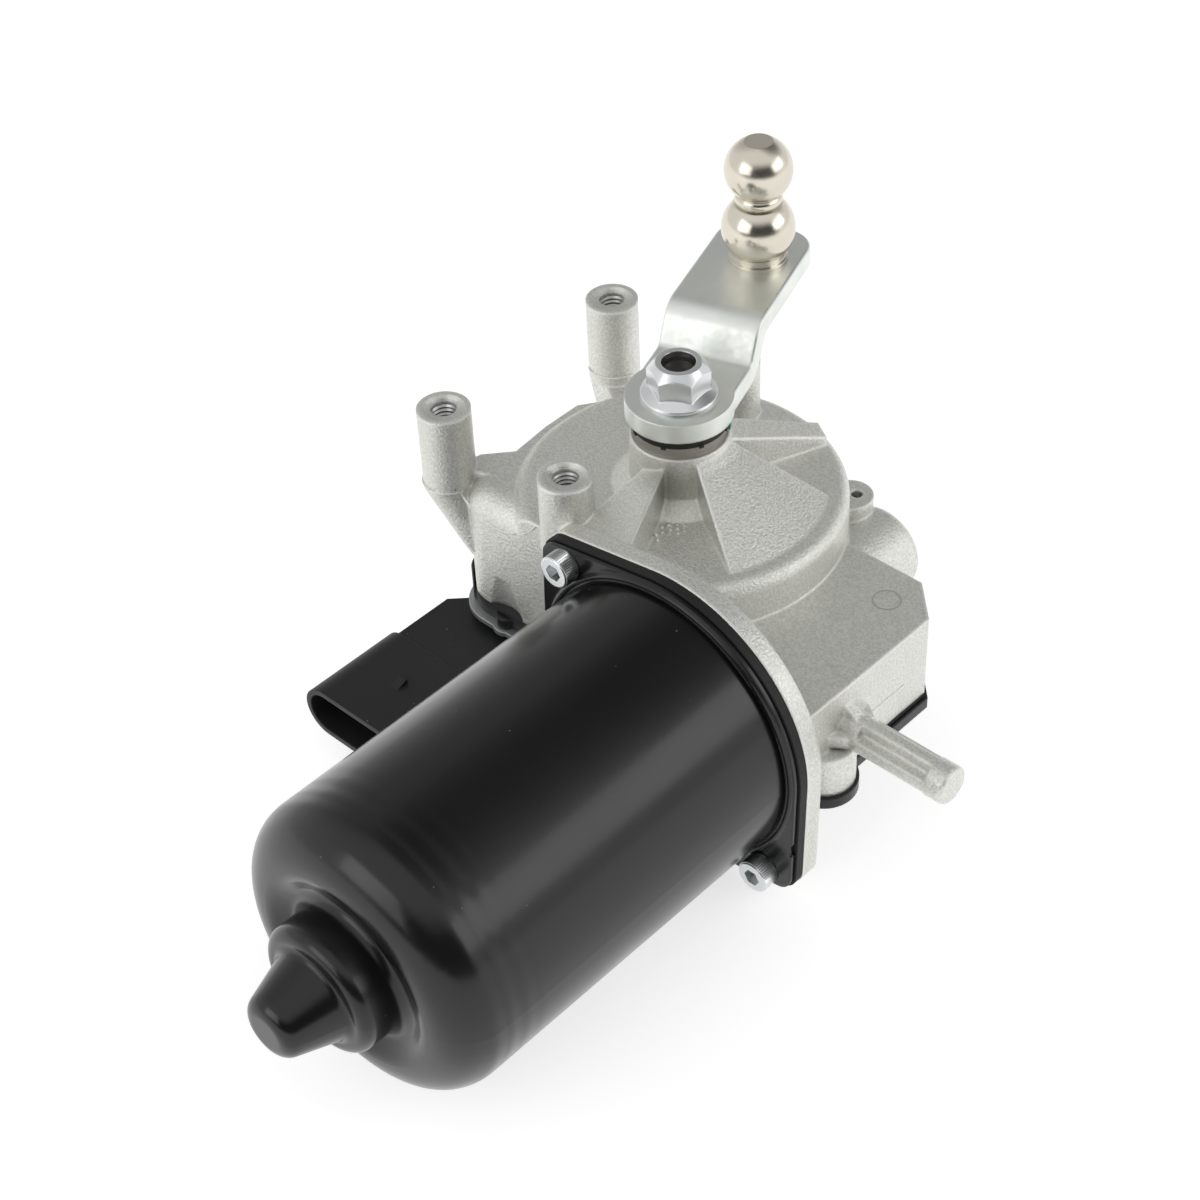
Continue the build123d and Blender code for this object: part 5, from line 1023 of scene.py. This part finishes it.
def make_world(scene, s):
    """Light from the sides, with a dark roof, a dark gap before the can and a dimmer back."""
    world = bpy.data.worlds.new("studio")
    world.use_nodes = True
    tree = Tree(world.node_tree)
    background = world.node_tree.nodes["Background"]
    tree.feed(background.inputs["Color"], WHITE)
    way = tree.add("ShaderNodeTexCoord").outputs["Generated"]
    roof = tree.measure("DOT_PRODUCT", way, ROOF_WAY)
    back = tree.measure("DOT_PRODUCT", way, BACK_WAY)
    front = tree.measure("DOT_PRODUCT", way, GAP_WAY)
    rise = tree.math("ABSOLUTE", tree.math("SUBTRACT", tree.split(way)[2], GAP_RISE))
    band = tree.span(rise, *GAP_HEIGHT, 1.0, 0.0)
    gap = tree.math("MULTIPLY", band, tree.span(front, *GAP_WIDTH, 0.0, 1.0))
    open_share = tree.math("SUBTRACT", 1.0, tree.math("MULTIPLY", gap, GAP_DEPTH))
    light = tree.span(roof, *ROOF_EDGE, s.side_light, s.roof_light)
    dimmed = tree.math("MULTIPLY", light, tree.span(back, *BACK_EDGE, 1.0, BACK_LIGHT))
    tree.feed(background.inputs["Strength"], tree.math("MULTIPLY", dimmed, open_share))
    scene.world = world


def make_boxes(scene, s):
    """The two soft boxes, turned to the can."""
    for name, (way, width, height) in BOXES.items():
        lamp = bpy.data.lights.new(name, "AREA")
        lamp.shape = "RECTANGLE"
        lamp.size = width
        lamp.size_y = height
        lamp.energy = getattr(s, name)
        holder = bpy.data.objects.new(name, lamp)
        scene.collection.objects.link(holder)
        holder.location = CAN_MIDDLE + BOX_DISTANCE * Vector(way).normalized()
        holder.rotation_euler = (CAN_MIDDLE - holder.location).to_track_quat("-Z", "Y").to_euler()


def make_camera(scene):
    camera = bpy.data.objects.new("camera", bpy.data.cameras.new("camera"))
    scene.collection.objects.link(camera)
    camera.data.sensor_width = SENSOR_MM
    camera.data.lens = LENS_MM
    camera.data.clip_start = CLIP_START
    turn = Matrix((CAMERA_RIGHT, CAMERA_UP, CAMERA_BACK)).transposed()
    camera.matrix_world = Matrix.Translation(CAMERA_AT) @ turn.to_4x4()
    scene.camera = camera


class WM_OT_stage(bpy.types.Operator):
    """Floor, soft boxes, world and camera"""

    bl_idname = "wiper.stage"
    bl_label = "Stage"
    bl_options = {"REGISTER", "UNDO"}

    def execute(self, context):
        scene = context.scene
        make_floor(scene, scene.wm_stage)
        make_world(scene, scene.wm_stage)
        make_boxes(scene, scene.wm_stage)
        make_camera(scene)
        scene.view_settings.view_transform = "Standard"
        return {"FINISHED"}


OPERATORS = [
    WM_OT_casting,
    WM_OT_can,
    WM_OT_bright,
    WM_OT_plastics,
    WM_OT_inner,
    WM_OT_threads,
    WM_OT_knurls,
    WM_OT_cast_marks,
    WM_OT_ejector_mark,
    WM_OT_ring_lip,
    WM_OT_stud_collar,
    WM_OT_paint_dab,
    WM_OT_stage,
]


class WM_PT_panel(bpy.types.Panel):
    """Lists the pieces and their settings"""

    bl_idname = "WM_PT_panel"
    bl_label = "Wiper motor"
    bl_space_type = "VIEW_3D"
    bl_region_type = "UI"
    bl_category = "Wiper motor"

    def draw(self, context):
        for name, settings in SETTINGS.items():
            box = self.layout.box()
            for key in settings.__annotations__:
                box.prop(getattr(context.scene, name), key)
        for operator in OPERATORS:
            self.layout.operator(operator.bl_idname)


def register():
    for name, settings in SETTINGS.items():
        bpy.utils.register_class(settings)
        setattr(bpy.types.Scene, name, bpy.props.PointerProperty(type=settings))
    for item in (*OPERATORS, WM_PT_panel):
        bpy.utils.register_class(item)


def unregister():
    for item in (WM_PT_panel, *reversed(OPERATORS)):
        bpy.utils.unregister_class(item)
    for name, settings in SETTINGS.items():
        delattr(bpy.types.Scene, name)
        bpy.utils.unregister_class(settings)


def main():
    register()
    for operator in OPERATORS:
        group, name = operator.bl_idname.split(".")
        getattr(getattr(bpy.ops, group), name)()


if __name__ == "__main__":
    main()
